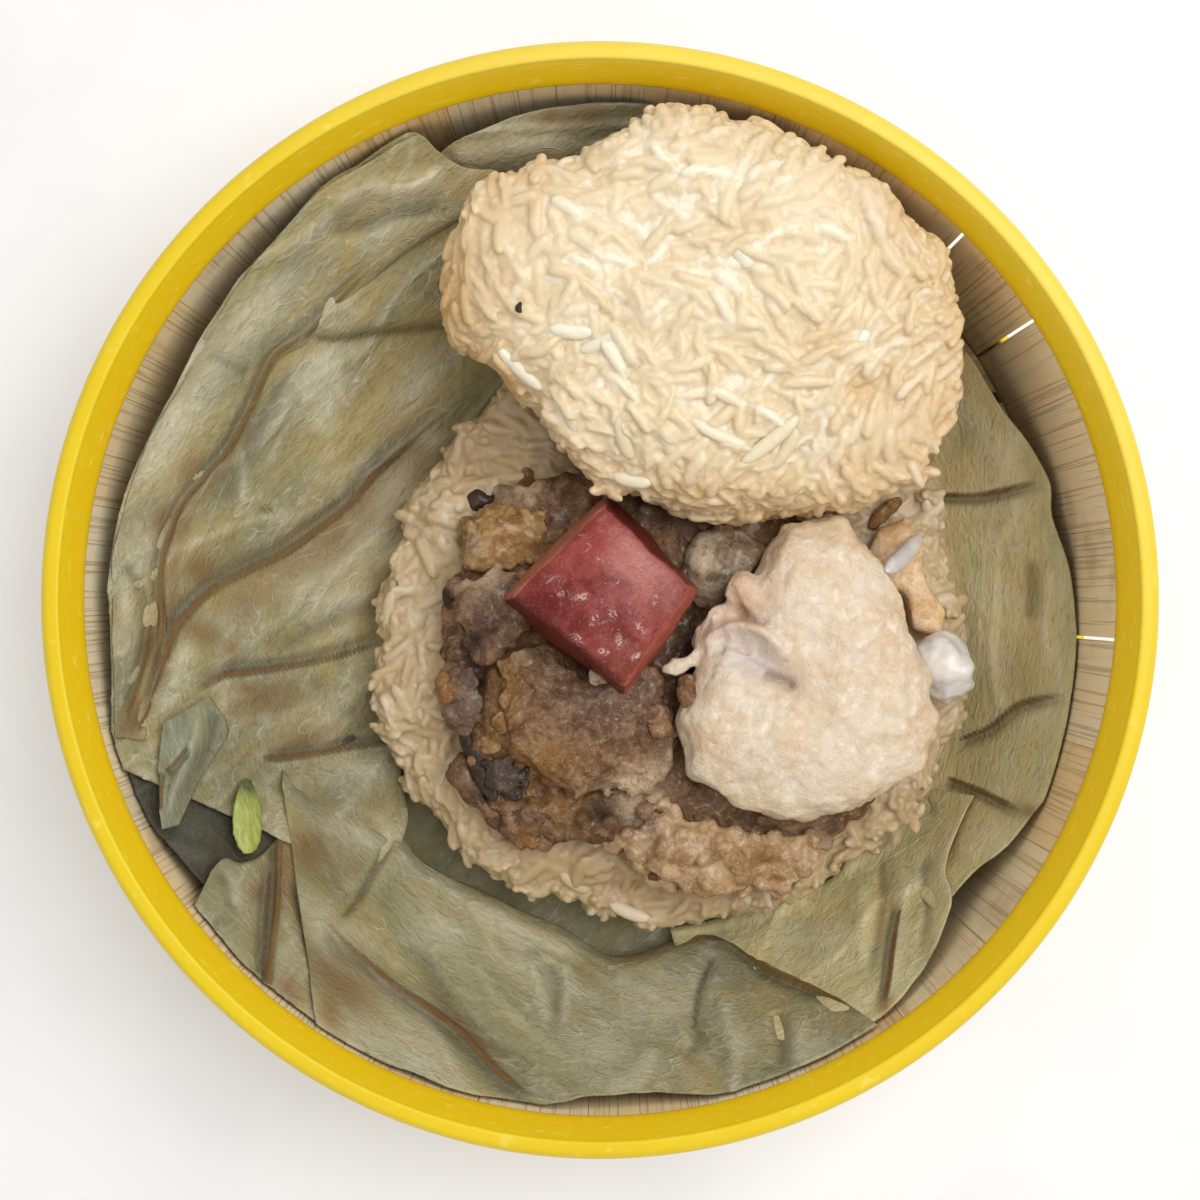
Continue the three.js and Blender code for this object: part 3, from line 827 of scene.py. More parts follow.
@dataclass
class Basket:
    """The round steamer basket: two yellow hoops, a wall of bamboo staves and a slatted floor."""

    radius: float = 90.0
    height: float = 58.0
    wall_inner: float = 84.4
    wall_outer: float = 87.4
    wall_foot: float = 3.0
    wall_top: float = 52.2
    skirt: float = 40.0
    lip_radius: float = 84.0
    step_radius: float = 86.4
    foot_height: float = 14.0
    foot_radius: float = 89.6
    flange: float = 81.5
    flange_top: float = 2.6
    hoop_gap: float = 0.5
    sides: int = 288
    staves: int = 29
    first_seam: float = 8.0
    seam: float = 0.3
    open_seam: float = 0.55
    open_seams: tuple[int, ...] = (2, 3, 28)
    lap: float = 1.3

    def rim(self, plastic: bpy.types.Material) -> None:
        """The upper hoop: a sloping lip inside, a small step, and a broad rounded crown."""
        sleeve = self.wall_outer + self.hoop_gap
        foot = self.wall_top + self.seam
        profile = [
            (self.lip_radius, foot), (sleeve, foot), (sleeve, self.skirt), (self.radius, self.skirt),
            (self.radius, self.height - 1.2), (self.radius - 1.1, self.height - 0.05),
            (self.step_radius + 0.5, self.height), (self.step_radius + 0.25, self.height - 0.75),
            (self.lip_radius + 0.35, foot + 1.1),
        ]
        hoop = turned(fillet(profile, 0.5), self.sides)
        hoop.marks["inside"] = rise(np.hypot(*hoop.points[:, :2].T), 86.7, 86.2)
        # A painted sheen towards the upper right, where the light falls, on all but the inner lip.
        side = hoop.points[:, 0] * 0.5 + hoop.points[:, 1] * 0.86
        hoop.marks["faded"] = rise(side, 20, 88) * (1 - hoop.marks["inside"])
        hoop.piece("rim_hoop", plastic, "rim_yellow", ["basket_rim"])

    def foot(self, plastic: bpy.types.Material) -> None:
        """The lower hoop, turned in to carry the wall."""
        sleeve = self.wall_outer + self.hoop_gap
        profile = [
            (self.flange, 0), (self.foot_radius, 0), (self.foot_radius, self.foot_height),
            (sleeve, self.foot_height), (sleeve, self.flange_top), (self.flange, self.flange_top),
        ]
        hoop = turned(fillet(profile, 0.6), self.sides)
        hoop.marks["inside"] = hoop.marks["faded"] = np.zeros(len(hoop.points))
        hoop.piece("foot_hoop", plastic, "rim_yellow", ["basket_foot"])

    def stave(self, index: int, bamboo: bpy.types.Material, tone: float) -> None:
        """One upright strip of the wall, half-lapped with the next.

        Args:
            index: its place round the wall.
            bamboo: its material.
            tone: how pale it is, from 0 to 1.
        """
        middle = (self.wall_inner + self.wall_outer) / 2
        pitch = 2 * math.pi / self.staves
        start = math.radians(self.first_seam) + index * pitch
        halves = []
        laps = []
        for seam in (index, (index + 1) % self.staves):
            is_open = seam in self.open_seams
            halves.append((self.open_seam if is_open else 0.2 * self.seam) / 2 / middle)
            laps.append(0.0 if is_open else self.lap / middle)
        inner = np.linspace(start + halves[0], start + pitch - halves[1], 14)
        outer = np.linspace(inner[0] + laps[0], inner[-1] + laps[1], 14)
        outline = [(self.wall_outer, angle) for angle in outer]
        outline += [(middle + self.seam / 2, outer[-1]), (middle + self.seam / 2, inner[-1])]
        outline += [(self.wall_inner, angle) for angle in inner[::-1]]
        outline += [(middle - self.seam / 2, inner[0]), (middle - self.seam / 2, outer[0])]
        if not laps[1]:
            del outline[15]
        if not laps[0]:
            del outline[-1]
        radii, angles = np.array(outline).T
        levels = np.linspace(self.wall_foot, self.wall_top, 7)
        rings = [
            np.column_stack([radii * np.cos(angles), radii * np.sin(angles), 0 * radii + level])
            for level in levels
        ]
        count = len(outline)
        faces: list[tuple[int, ...]] = [tuple(range(count))[::-1]]
        for level in range(len(levels) - 1):
            low = level * count
            for at in range(count):
                after = (at + 1) % count
                faces.append((low + at, low + after, low + after + count, low + at + count))
        faces.append(tuple(range(count * (len(levels) - 1), count * len(levels))))
        points = np.concatenate(rings)
        around = np.tile((angles - start) * middle + 41 * index, len(levels))
        marks = {"around": around, "up": points[:, 2], "tone": np.full(len(points), tone)}
        name = f"stave_{index + 1:02d}"
        made = Skin(points, faces, marks).piece(name, bamboo, "bamboo", [f"wall_stave_{index + 1:02d}"])
        edges = made.modifiers.new("worn edges", "BEVEL")
        edges.width = 0.12 * MM
        edges.segments = 2
        edges.limit_method = "ANGLE"
        made.data.shade_smooth()
        edges.harden_normals = True

    def build(self) -> None:
        """Makes the whole basket."""
        plastic = YellowPlastic().make()
        self.rim(plastic)
        self.foot(plastic)
        wall = SplitBamboo().make(upright=True)
        tones = np.random.default_rng(5).uniform(0, 1, self.staves)
        # The staves at the top of the wall get pale tones: painted light on a part of the wall that lies in
        # shade.
        tones[3:8] = tones[3:8] * 0.3 + 0.8
        for index in range(self.staves):
            self.stave(index, wall, float(tones[index]))
        floor = frame["nodes"]["basket_floor"]
        floor.data.materials.clear()
        floor.data.materials.append(SplitBamboo().make(upright=False))


# Leaf


@dataclass(frozen=True)
class LotusLeaf:
    """Cooked lotus leaf: olive and tan, veined, wrinkled and stained by its filling, with painted shade in
    its creases and a painted sheen on its crests.
    """

    name: str = "lotus_leaf"
    olive: tuple = srgb(142, 136, 96)
    tan: tuple = srgb(168, 150, 98)
    grey: tuple = srgb(150, 148, 120)
    bloom: tuple = srgb(212, 206, 178)
    vein: tuple = srgb(124, 86, 36)
    vein_side: tuple = srgb(72, 58, 38)
    stain: tuple = srgb(124, 86, 38)
    groove: tuple = srgb(70, 62, 46)
    run: float = 45.0

    def make(self) -> bpy.types.Material:
        """The material."""
        recipe = Recipe(self.name)
        vein, stain, groove = (recipe.mark(name) for name in ("vein", "stain", "groove"))
        # The pale mark is painted highlight: along raised folds, on crests and in listed spots.
        pale = recipe.mark("pale")
        along = recipe.drawn(self.run, 3.5)
        patch = recipe.noise(16, 3, along, 0.5)
        wash = recipe.noise(6, 3, along, 0.6)
        crinkle = recipe.noise(1.7, 4, recipe.drawn(self.run, 1.8), 0.9, 0.65)
        fibre = recipe.noise(0.5, 2, recipe.drawn(self.run, 5), 0, 0.7)
        crease = recipe.threads(8, 0.012, 1, 0.2, recipe.drawn(self.run, 2.5)) * wash.step(0.4, 0.55)
        colour = recipe.layers(
            self.olive,
            (self.tan, patch.step(0.36, 0.64)),
            (self.grey, wash.step(0.44, 0.66) * 0.75),
            # Painted shade in the hollows of the crinkles, and a painted sheen on their crests, along the
            # creases and on the pale mark.
            (self.groove, crinkle.step(0.48, 0.28) * 0.25),
            (self.bloom, crinkle.step(0.5, 0.74) * wash.step(0.38, 0.6) * 0.5),
            (self.bloom, crease * 0.4),
            (self.bloom, pale * (0.2 + crinkle * 0.9)),
            # Painted shade in the hollows of the fine fibres, and a painted sheen on their crests.
            (self.groove, fibre.step(0.5, 0.3) * 0.16),
            (self.bloom, fibre.step(0.52, 0.72) * 0.14),
            (self.stain, stain * (0.4 + crinkle * 0.9)),
            (self.vein_side, vein.step(0.1, 0.6) * (0.25 + wash * 0.8)),
            (self.vein, (vein - crinkle * 0.5).step(0.3, 0.62) * (0.5 + wash * 0.8)),
            # Painted shade where the shade mark is raised: in folds, beside veins and edges, and in shaded
            # patches.
            (self.groove, groove * 0.85),
        )
        return recipe.finish(
            Base_Color=colour, Roughness=0.5 + fibre * 0.16 - pale * 0.1,
            Normal=recipe.bumped(crinkle * 0.6 + fibre * 0.2 + crease * 0.1, 0.8),
            Specular_IOR_Level=0.35,
        )


@dataclass(frozen=True)
class Hollow:
    """The hollow that the leaf lines: flat by the rice and steep against the wall."""

    rice_middle: tuple[float, float] = (13.0, -8.0)
    rice_radius: float = 54.0
    lowest: float = 10.7
    rises: float = 36.0
    dip: float = 20.0
    dip_angle: float = 20.0
    edge: float = 83.4
    limit: float = 83.8
    wave: float = 0.7

    def height(self, x: np.ndarray, y: np.ndarray) -> np.ndarray:
        """The height of the lowest layer of leaf at some places."""
        angle = np.arctan2(y, x)
        middle_x, middle_y = self.rice_middle
        along = middle_x * np.cos(angle) + middle_y * np.sin(angle)
        away = middle_x**2 + middle_y**2
        reach = along + np.sqrt(self.rice_radius**2 - away + along**2)
        share = np.clip((np.hypot(x, y) - reach) / (self.edge - reach), 0, 1)
        dip = self.dip * np.maximum(0, np.cos(angle - math.radians(self.dip_angle))) ** 2
        wave = self.wave * np.sin(9 * angle + 0.05 * x) * np.sin(math.pi * share)
        return self.lowest + (self.rises - dip) * share**1.25 + wave

    def points(self, pixels: np.ndarray, lift: float) -> np.ndarray:
        """The points on a layer of leaf that show at some pixels.

        Args:
            pixels: the pixels, one a row.
            lift: how far the layer lies above the lowest.

        Returns:
            The points, none of them through the wall.
        """
        heights = np.full(len(pixels), 22.0)
        for _ in range(14):
            points = VIEW.points(pixels, heights)
            heights = 0.3 * heights + 0.7 * (self.height(points[:, 0], points[:, 1]) + lift)
        radius = np.hypot(points[:, 0], points[:, 1])
        points[:, :2] *= np.minimum(1, self.limit / np.maximum(radius, 1))[:, None]
        points[:, 2] = heights
        return points


HOLLOW = Hollow()


class Fold(Enum):
    """What a line on the leaf is."""

    RIDGE = "a raised fold"
    VALLEY = "a sunken fold"
    STEP = "an edge, with the leaf on its right lying lower"
    VEIN = "a raised rib, stained brown"
    STREAK = "a stained line with no height"


@dataclass(frozen=True)
class Line:
    """A line on the leaf, with its width in pixels and its height in millimetres."""

    fold: Fold
    trace: Trace
    width: float = 7.0
    height: float = 1.0
    reach: float = 60.0
    fade: float = 0.22

    def apply(self, pixels: np.ndarray, marks: dict[str, np.ndarray]) -> np.ndarray:
        """Shapes the leaf along the line.

        Args:
            pixels: where the leaf's points show.
            marks: the leaf's marks, which are raised here.

        Returns:
            How far each point rises.
        """
        gap, along = Path(self.trace).measure(pixels, self.reach + 3 * self.width)
        ends = rise(along, 0, self.fade) * rise(along, 1, 1 - self.fade)
        bell = np.exp(-((gap / self.width) ** 2)) * ends
        if self.fold is Fold.RIDGE:
            # A painted highlight along the raised fold.
            marks["pale"] = np.maximum(marks["pale"], 0.8 * bell)
            return self.height * bell
        if self.fold is Fold.VALLEY:
            # Painted shade in the sunken fold.
            marks["groove"] = np.maximum(marks["groove"], 0.55 * bell**2)
            return -self.height * bell
        if self.fold is Fold.STEP:
            drop = np.tanh(gap / self.width) * np.exp(-np.abs(gap) / self.reach)
            # A painted shadow on the lower side of the edge.
            shadow = np.exp(-(((gap - 0.6 * self.width) / (0.7 * self.width)) ** 2)) * ends
            marks["groove"] = np.maximum(marks["groove"], 0.8 * shadow)
            return -0.5 * self.height * drop * ends
        if self.fold is Fold.STREAK:
            marks["stain"] = np.maximum(marks["stain"], bell * min(self.height, 1.0))
            return 0 * bell
        slim = np.exp(-((gap / (self.width * (0.6 + 0.6 * along))) ** 2)) * ends
        bell = np.exp(-((gap / (1.4 * self.width)) ** 2)) * ends
        marks["vein"] = np.maximum(marks["vein"], slim)
        # Painted shade in the hollows beside the rib.
        sides = np.exp(-(((gap - 1.9 * self.width) / (1.3 * self.width)) ** 2)) * ends
        marks["groove"] = np.maximum(marks["groove"], 0.8 * sides)
        drop = np.exp(-((gap / (4 * self.width)) ** 2)) * ends
        return 1.3 * self.height * bell - 0.8 * self.height * sides - 1.1 * drop


@dataclass(frozen=True)
class Sheet:
    """One sheet of leaf between two edges. Its edges run the same way and are pixels."""

    node: str
    outer: Trace
    inner: Trace
    layer: float
    lines: tuple[Line, ...] = ()
    stains: tuple[Spot, ...] = ()
    pales: tuple[Spot, ...] = ()
    dims: tuple[Spot, ...] = ()
    tuck: float = 0.0
    crumple: float = 1.0
    run: float = 45.0
    ragged: float = 2.0
    step: float = 0.7
    layer_step: float = 1.5

    def build(self, finish: bpy.types.Material, seed: int) -> None:
        """Makes the sheet.

        Args:
            finish: its material.
            seed: its own wrinkles.
        """
        outer, inner = Path(self.outer), Path(self.inner)
        pixel = VIEW.focal / 320
        length = np.linalg.norm(np.diff(outer.line, axis=0), axis=1).sum() / pixel
        ends = np.linspace(0, 1, 9)
        depth = np.linalg.norm(outer.spaced(ends) - inner.spaced(ends), axis=1)
        columns = int(length / self.step) + 2
        rows = int(depth.max() / pixel / self.step) + 2
        across = np.linspace(0, 1, columns)
        noise = Noise(seed)
        run = np.column_stack([across * length, 0 * across, 0 * across])
        jag = self.ragged * noise.layered(run, 9, 4)[:, None] * (0, 1)
        far = outer.spaced(across) + jag
        near = inner.spaced(across) - jag
        down = np.linspace(0, 1, rows)[:, None, None]
        pixels = (near * (1 - down) + far * down).reshape(-1, 2)
        points = HOLLOW.points(pixels, self.layer * self.layer_step)
        lift, marks = self._shape(pixels, points, noise)
        points[:, 2] += lift
        share = np.repeat(down[:, 0, 0], columns)
        if self.tuck:
            points[:, 2] -= self.tuck * (1 - rise(share, 0.0, 0.06)) ** 2
        skin = Skin.grid(points.reshape(rows, columns, 3), 0.6)
        skin.marks = {name: np.tile(values, 2) for name, values in marks.items()}
        skin.piece(f"{self.node}_sheet", finish, "leaf", [self.node])

    def _shape(
        self, pixels: np.ndarray, points: np.ndarray, noise: Noise
    ) -> tuple[np.ndarray, dict[str, np.ndarray]]:
        """How far the sheet's folds, veins and wrinkles lift each point, and its marks."""
        marks = {name: np.zeros(len(pixels)) for name in ("vein", "stain", "groove", "pale")}
        lift = sum((line.apply(pixels, marks) for line in self.lines), np.zeros(len(pixels)))
        angle = math.radians(self.run)
        along = points[:, 0] * math.cos(angle) + points[:, 1] * math.sin(angle)
        across = points[:, 1] * math.cos(angle) - points[:, 0] * math.sin(angle)
        bend = 2.5 * noise.soft(points + 17, 14)
        drawn = np.column_stack([along / 3.4, across + bend, 0 * along])
        waves = noise.layered(drawn, 6.5, 2)
        zone = rise(noise.soft(points + 90, 15), -0.25, 0.4)
        fine = noise.folds(drawn + 31, 2.6) * zone
        creases = rise(noise.folds(drawn + 53, 8), 0.6, 1.0)
        soft = 0.5 * noise.layered(points, 14, 3) + 0.9 * waves + 0.7 * creases
        # A painted sheen on the crests of the wrinkles and creases.
        bloom = 0.4 * rise(fine, 0.35, 0.85) + 0.4 * rise(waves, 0.3, 1) + 0.4 * creases
        marks["pale"] = np.maximum(marks["pale"], bloom)
        # Painted shade in the hollows of the waves.
        marks["groove"] = np.maximum(marks["groove"], 0.3 * rise(waves, -0.35, -1.0))
        # Stain spots are real stains; pale spots are painted highlight, and shade spots are painted shade.
        for name, spots, most in (
            ("stain", self.stains, 0.8), ("pale", self.pales, 0.8), ("groove", self.dims, 0.4)
        ):
            for spot in spots:
                marks[name] = np.maximum(marks[name], most * spot.share(pixels))
        return lift + self.crumple * (soft + 0.5 * fine - 0.4), marks


class LeafLines:
    """The lines that show on the leaf, as traces of the photo's pixels."""

    VEIN_A: Trace = (
        (443, 222), (395, 252), (365, 275), (349, 289), (320, 319), (301, 337), (276, 353),
        (262, 376), (248, 411), (228, 447), (205, 476), (182, 504), (170, 531), (161, 564),
        (159, 598), (159, 632), (150, 667), (136, 706), (124, 740),
    )
    VEIN_A_TWIN: Trace = (
        (262, 392), (250, 424), (232, 455), (209, 485), (190, 512), (180, 545), (172, 580),
        (170, 615), (166, 650), (156, 690), (142, 735),
    )
    VEIN_B: Trace = (
        (480, 388), (450, 408), (411, 442), (377, 472), (349, 504), (320, 527), (285, 552), (251, 568),
        (219, 584), (193, 605), (175, 628), (163, 656), (150, 690), (143, 720), (139, 740),
    )
    VEIN_C: Trace = (
        (405, 636), (366, 647), (331, 658), (285, 667), (251, 672), (225, 675), (205, 685), (186, 697),
    )
    VEIN_D: Trace = ((395, 742), (382, 744), (343, 749), (308, 755), (274, 759), (255, 757))
    FOLD_B: Trace = ((310, 331), (322, 335), (340, 335), (388, 328), (443, 323), (460, 322))
    TOP_RIDGE: Trace = ((329, 211), (350, 200), (372, 190), (400, 192), (450, 179))
    TOP_VALLEY: Trace = ((330, 229), (350, 227), (411, 213), (450, 204))
    VEIN_E: Trace = (
        (310, 905), (344, 939), (385, 977), (426, 1007), (458, 1033), (488, 1065), (517, 1089),
        (549, 1103),
    )
    VALLEY_E: Trace = ((395, 930), (423, 963), (447, 1007), (482, 1042), (511, 1059), (549, 1071))
    VEIN_G: Trace = (
        (690, 936), (711, 939), (728, 942), (751, 958), (774, 974), (815, 991), (853, 1004), (884, 1013),
    )
    FIBRES: tuple[Trace, ...] = (
        ((150, 600), (146, 640), (136, 680), (122, 722)),
        ((166, 640), (158, 672), (146, 706), (134, 738)),
        ((176, 650), (168, 684), (160, 712), (150, 738)),
        ((186, 640), (180, 668), (172, 700), (166, 726)),
    )


# The sheets of leaf, each from its edges

RIDGE, VALLEY, STEP, VEIN, STREAK = Fold

LEFT_FLAP = Sheet(
    "leaf_left",
    outer=(
        (108, 764), (110, 738), (111, 678), (110, 620), (110, 560), (119, 518), (129, 483), (143, 449),
        (161, 414), (178, 384), (198, 343), (217, 314), (237, 282), (262, 252), (285, 227), (310, 197),
        (331, 179), (361, 162), (388, 144), (413, 132), (424, 136), (437, 150), (460, 163), (490, 172),
    ),
    inner=(
        (360, 872), (395, 850), (408, 820), (402, 780), (400, 740), (402, 700), (410, 660), (412, 620),
        (415, 580), (425, 540), (430, 510), (445, 470), (480, 440), (505, 410), (515, 370), (515, 340),
        (512, 310), (508, 285), (505, 260), (505, 240), (508, 222), (512, 205),
    ),
    layer=1,
    lines=(
        Line(VEIN, LeafLines.VEIN_B, 5, 0.6), Line(VEIN, LeafLines.VEIN_C, 4, 0.55),
        Line(VEIN, LeafLines.VEIN_D, 3.6, 0.5), Line(STREAK, LeafLines.VEIN_A_TWIN, 8, 0.6),
        Line(STEP, LeafLines.FOLD_B, 4, 4.2, 45),
        Line(RIDGE, ((243, 440), (244, 480), (243, 505)), 6, 0.9),
        Line(RIDGE, ((346, 360), (330, 400), (318, 440)), 14, 0.9),
        Line(VALLEY, ((300, 350), (262, 420), (240, 470), (215, 520)), 16, 0.8),
        Line(RIDGE, ((430, 470), (400, 500), (360, 545), (320, 580), (270, 600)), 14, 1.2),
        Line(VALLEY, ((420, 560), (380, 600), (330, 620), (290, 640), (240, 650)), 14, 0.8),
        Line(STEP, ((255, 508), (266, 508), (277, 510)), 3, 0.9, 12, 0.3),
        Line(STREAK, ((450, 420), (400, 470), (330, 540), (250, 590), (190, 640)), 26, 0.5),
    ),
    stains=(
        Spot((198, 570), 16, 1.2, 60), Spot((200, 632), 22, 0.6, 30), Spot((232, 649), 12),
        Spot((262, 700), 30, 0.6), Spot((250, 690), 14, 0.7), Spot((300, 742), 30, 0.4, -10),
        Spot((150, 660), 34, 0.4, 100), Spot((330, 540), 44, 0.3, 140), Spot((175, 520), 16, 2.0),
    ),
    pales=(
        Spot((225, 618), 15, 0.6, 145), Spot((182, 656), 12), Spot((320, 370), 44, 0.5, 120),
        Spot((200, 385), 30, 0.5, 120), Spot((390, 490), 30, 0.5, 130), Spot((350, 600), 40, 0.4, 170),
        Spot((420, 380), 40, 0.4, 130), Spot((350, 770), 40, 0.4), Spot((330, 300), 40, 0.3, 140),
    ),
    dims=(
        Spot((330, 790), 70, 0.6, 20), Spot((300, 690), 50, 0.3, 0), Spot((240, 770), 44, 1.2),
        Spot((250, 745), 30, 1.0),
    ),
)

LEFT_EDGE = Sheet(
    "leaf_left_edge",
    outer=(
        (113, 738), (113, 678), (112, 620), (112, 560), (121, 518), (131, 483), (145, 449), (163, 414),
        (180, 384), (200, 343), (219, 314), (239, 282), (264, 252), (287, 227), (312, 198), (334, 180),
        (364, 163), (391, 146), (416, 134), (427, 138), (439, 151), (460, 165), (495, 172),
    ),
    inner=(
        (144, 742), (150, 702), (161, 664), (163, 630), (164, 598), (167, 564), (175, 531), (188, 506),
        (211, 478), (233, 449), (252, 413), (265, 380), (279, 358), (304, 341), (324, 322), (354, 294),
        (396, 258), (444, 228), (480, 212), (515, 205),
    ),
    layer=2,
    lines=(
        Line(VEIN, LeafLines.VEIN_A, 3.4, 0.5), Line(RIDGE, LeafLines.TOP_RIDGE, 11, 2.2),
        Line(VALLEY, LeafLines.TOP_VALLEY, 9, 1.4),
        Line(RIDGE, ((140, 500), (170, 440), (210, 375), (250, 320), (300, 265)), 18, 0.8),
        Line(VALLEY, ((205, 352), (232, 366), (250, 372)), 7, 0.8),
        Line(VALLEY, ((118, 560), (140, 590), (146, 640)), 8, 0.6),
        *(Line(VEIN, trace, 2.6, 0.4) for trace in LeafLines.FIBRES),
    ),
    stains=(
        Spot((150, 640), 40, 0.35, 100), Spot((190, 470), 22, 0.5, 120), Spot((160, 520), 20, 0.5, 110),
        Spot((130, 715), 26, 0.4, 100),
    ),
    pales=(
        Spot((180, 410), 26, 0.7, 120), Spot((215, 345), 24, 0.6, 120), Spot((160, 460), 20, 0.5, 100),
        Spot((125, 600), 30, 0.25, 85),
    ),
    tuck=1.3,
)

TOP_FLAP = Sheet(
    "leaf_top",
    outer=((434, 156), (448, 145), (462, 138), (515, 118), (570, 106), (610, 103), (650, 103)),
    inner=((390, 200), (420, 205), (450, 200), (480, 215), (520, 225), (570, 225), (620, 220)), layer=0.4,
    lines=(
        Line(RIDGE, ((445, 160), (480, 158), (530, 150), (580, 140)), 14, 1.2),
        Line(VALLEY, ((440, 178), (500, 172), (560, 165)), 10, 1.0),
        Line(STREAK, ((540, 112), (560, 120), (620, 118)), 8, 0.5),
    ),
    stains=(Spot((590, 115), 28, 0.4), Spot((550, 118), 14, 0.6)),
    pales=(Spot((480, 165), 34, 0.4, -10),), dims=(Spot((600, 130), 70, 0.5), Spot((500, 172), 70, 0.5)),
    tuck=0.8, run=12,
)

CORNER = Sheet(
    "leaf_corner",
    outer=(
        (112, 742), (116, 770), (132, 800), (150, 828), (170, 845), (188, 868), (206, 890), (225, 925),
    ),
    inner=(
        (330, 700), (350, 730), (370, 760), (370, 790), (370, 810), (365, 830), (350, 850), (330, 880),
    ),
    layer=-0.5,
    lines=(
        Line(VALLEY, ((228, 737), (245, 755), (250, 790), (250, 830)), 9, 1.4),
        Line(RIDGE, ((262, 742), (268, 765), (270, 790)), 7, 1.6),
        Line(RIDGE, ((170, 838), (190, 850), (215, 858)), 9, 0.8),
    ),
    stains=(Spot((262, 790), 16, 1.5),), pales=(Spot((190, 828), 16, 1.2),),
)

LOWER_LEFT = Sheet(
    "leaf_lower_left",
    outer=(
        (194, 908), (206, 930), (225, 954), (250, 983), (275, 1004), (303, 1025), (335, 1044),
        (372, 1062),
    ),
    inner=(
        (212, 868), (224, 858), (238, 862), (262, 854), (284, 827), (300, 841), (318, 880), (345, 930),
    ),
    layer=1.6,
    lines=(
        Line(VEIN, ((281, 832), (278, 860), (276, 910), (272, 945), (268, 985)), 4, 1.0, fade=0.02),
        Line(VEIN, ((268, 862), (264, 910), (262, 960), (262, 985)), 2.6, 0.6),
        Line(VEIN, ((294, 870), (305, 920), (322, 975), (331, 1040)), 2.8, 0.6),
        Line(VALLEY, ((216, 870), (226, 890), (228, 915)), 7, 1.1),
        Line(RIDGE, ((205, 925), (235, 960), (270, 992)), 6, 0.7),
    ),
    stains=(
        Spot((278, 880), 44, 0.35, 92), Spot((255, 895), 14), Spot((296, 900), 40, 0.3, 70),
        Spot((290, 990), 26, 0.5, 45),
    ),
    pales=(Spot((240, 900), 18, 1.0), Spot((318, 1010), 20, 0.5, 50), Spot((222, 945), 22, 0.4, 45)),
    tuck=1.0,
)

BOTTOM_FLAP = Sheet(
    "leaf_bottom",
    outer=(
        (318, 1034), (333, 1044), (380, 1062), (432, 1080), (464, 1092), (517, 1106), (564, 1103),
        (593, 1095), (652, 1093), (719, 1096), (760, 1086), (789, 1078), (843, 1053), (879, 1026),
    ),
    inner=(
        (280, 772), (306, 794), (350, 812), (396, 836), (418, 862), (441, 875), (505, 904), (564, 933),
        (602, 957), (631, 957), (675, 942), (715, 938), (760, 960), (840, 1000),
    ),
    layer=2.3,
    lines=(
        Line(VEIN, LeafLines.VEIN_E, 4, 0.9), Line(VALLEY, LeafLines.VALLEY_E, 12, 1.5),
        Line(RIDGE, ((529, 948), (540, 985), (552, 1027)), 8, 1.5),
        Line(RIDGE, ((564, 954), (566, 990), (560, 1030)), 8, 1.0),
        Line(VALLEY, ((548, 955), (556, 995), (556, 1030)), 8, 1.2),
        Line(RIDGE, ((455, 895), (520, 925), (590, 962)), 10, 0.8),
        Line(STEP, ((398, 836), (376, 870), (352, 912), (338, 920)), 5, 3.4, 30),
        Line(VALLEY, ((395, 838), (374, 872), (352, 912)), 4, 1.6),
        Line(STEP, ((719, 954), (702, 992), (696, 1045)), 4, 3.0, 26),
        Line(VALLEY, ((702, 1030), (696, 1046), (690, 1058)), 7, 2.2, fade=0.25),
        Line(RIDGE, ((719, 986), (728, 1024), (734, 1065), (728, 1095)), 8, 1.4),
        Line(VALLEY, ((775, 1010), (784, 1044), (782, 1075)), 10, 2.4),
        Line(RIDGE, ((800, 1012), (797, 1040), (789, 1067)), 9, 1.6),
        Line(RIDGE, ((617, 966), (622, 1000), (626, 1036)), 4, 0.5),
        Line(VEIN, LeafLines.VEIN_G, 3.6, 0.8),
        Line(STREAK, ((600, 958), (640, 955), (680, 942), (715, 940)), 6, 0.8),
        Line(RIDGE, ((650, 1040), (640, 1070), (600, 1090)), 12, 0.8),
        Line(VALLEY, ((310, 820), (330, 870), (350, 912)), 12, 0.7),
    ),
    stains=(
        Spot((345, 985), 50, 0.4, 40), Spot((306, 850), 22, 0.8, 60), Spot((330, 1010), 26, 0.5, 80),
        Spot((470, 1040), 40, 0.25, 45),
    ),
    pales=(
        Spot((350, 835), 34, 0.6, 25), Spot((440, 930), 44, 0.5, 40), Spot((548, 975), 34, 0.3, 75),
        Spot((420, 1060), 44, 0.3, 20), Spot((740, 1040), 24, 0.8, 80), Spot((815, 1050), 26, 0.7, -20),
        Spot((660, 1000), 60, 0.6, -10), Spot((600, 1050), 50, 0.5),
    ),
    dims=(Spot((330, 860), 50, 0.8, 60), Spot((330, 960), 40, 0.6, 50)), tuck=2.2, run=-40,
)

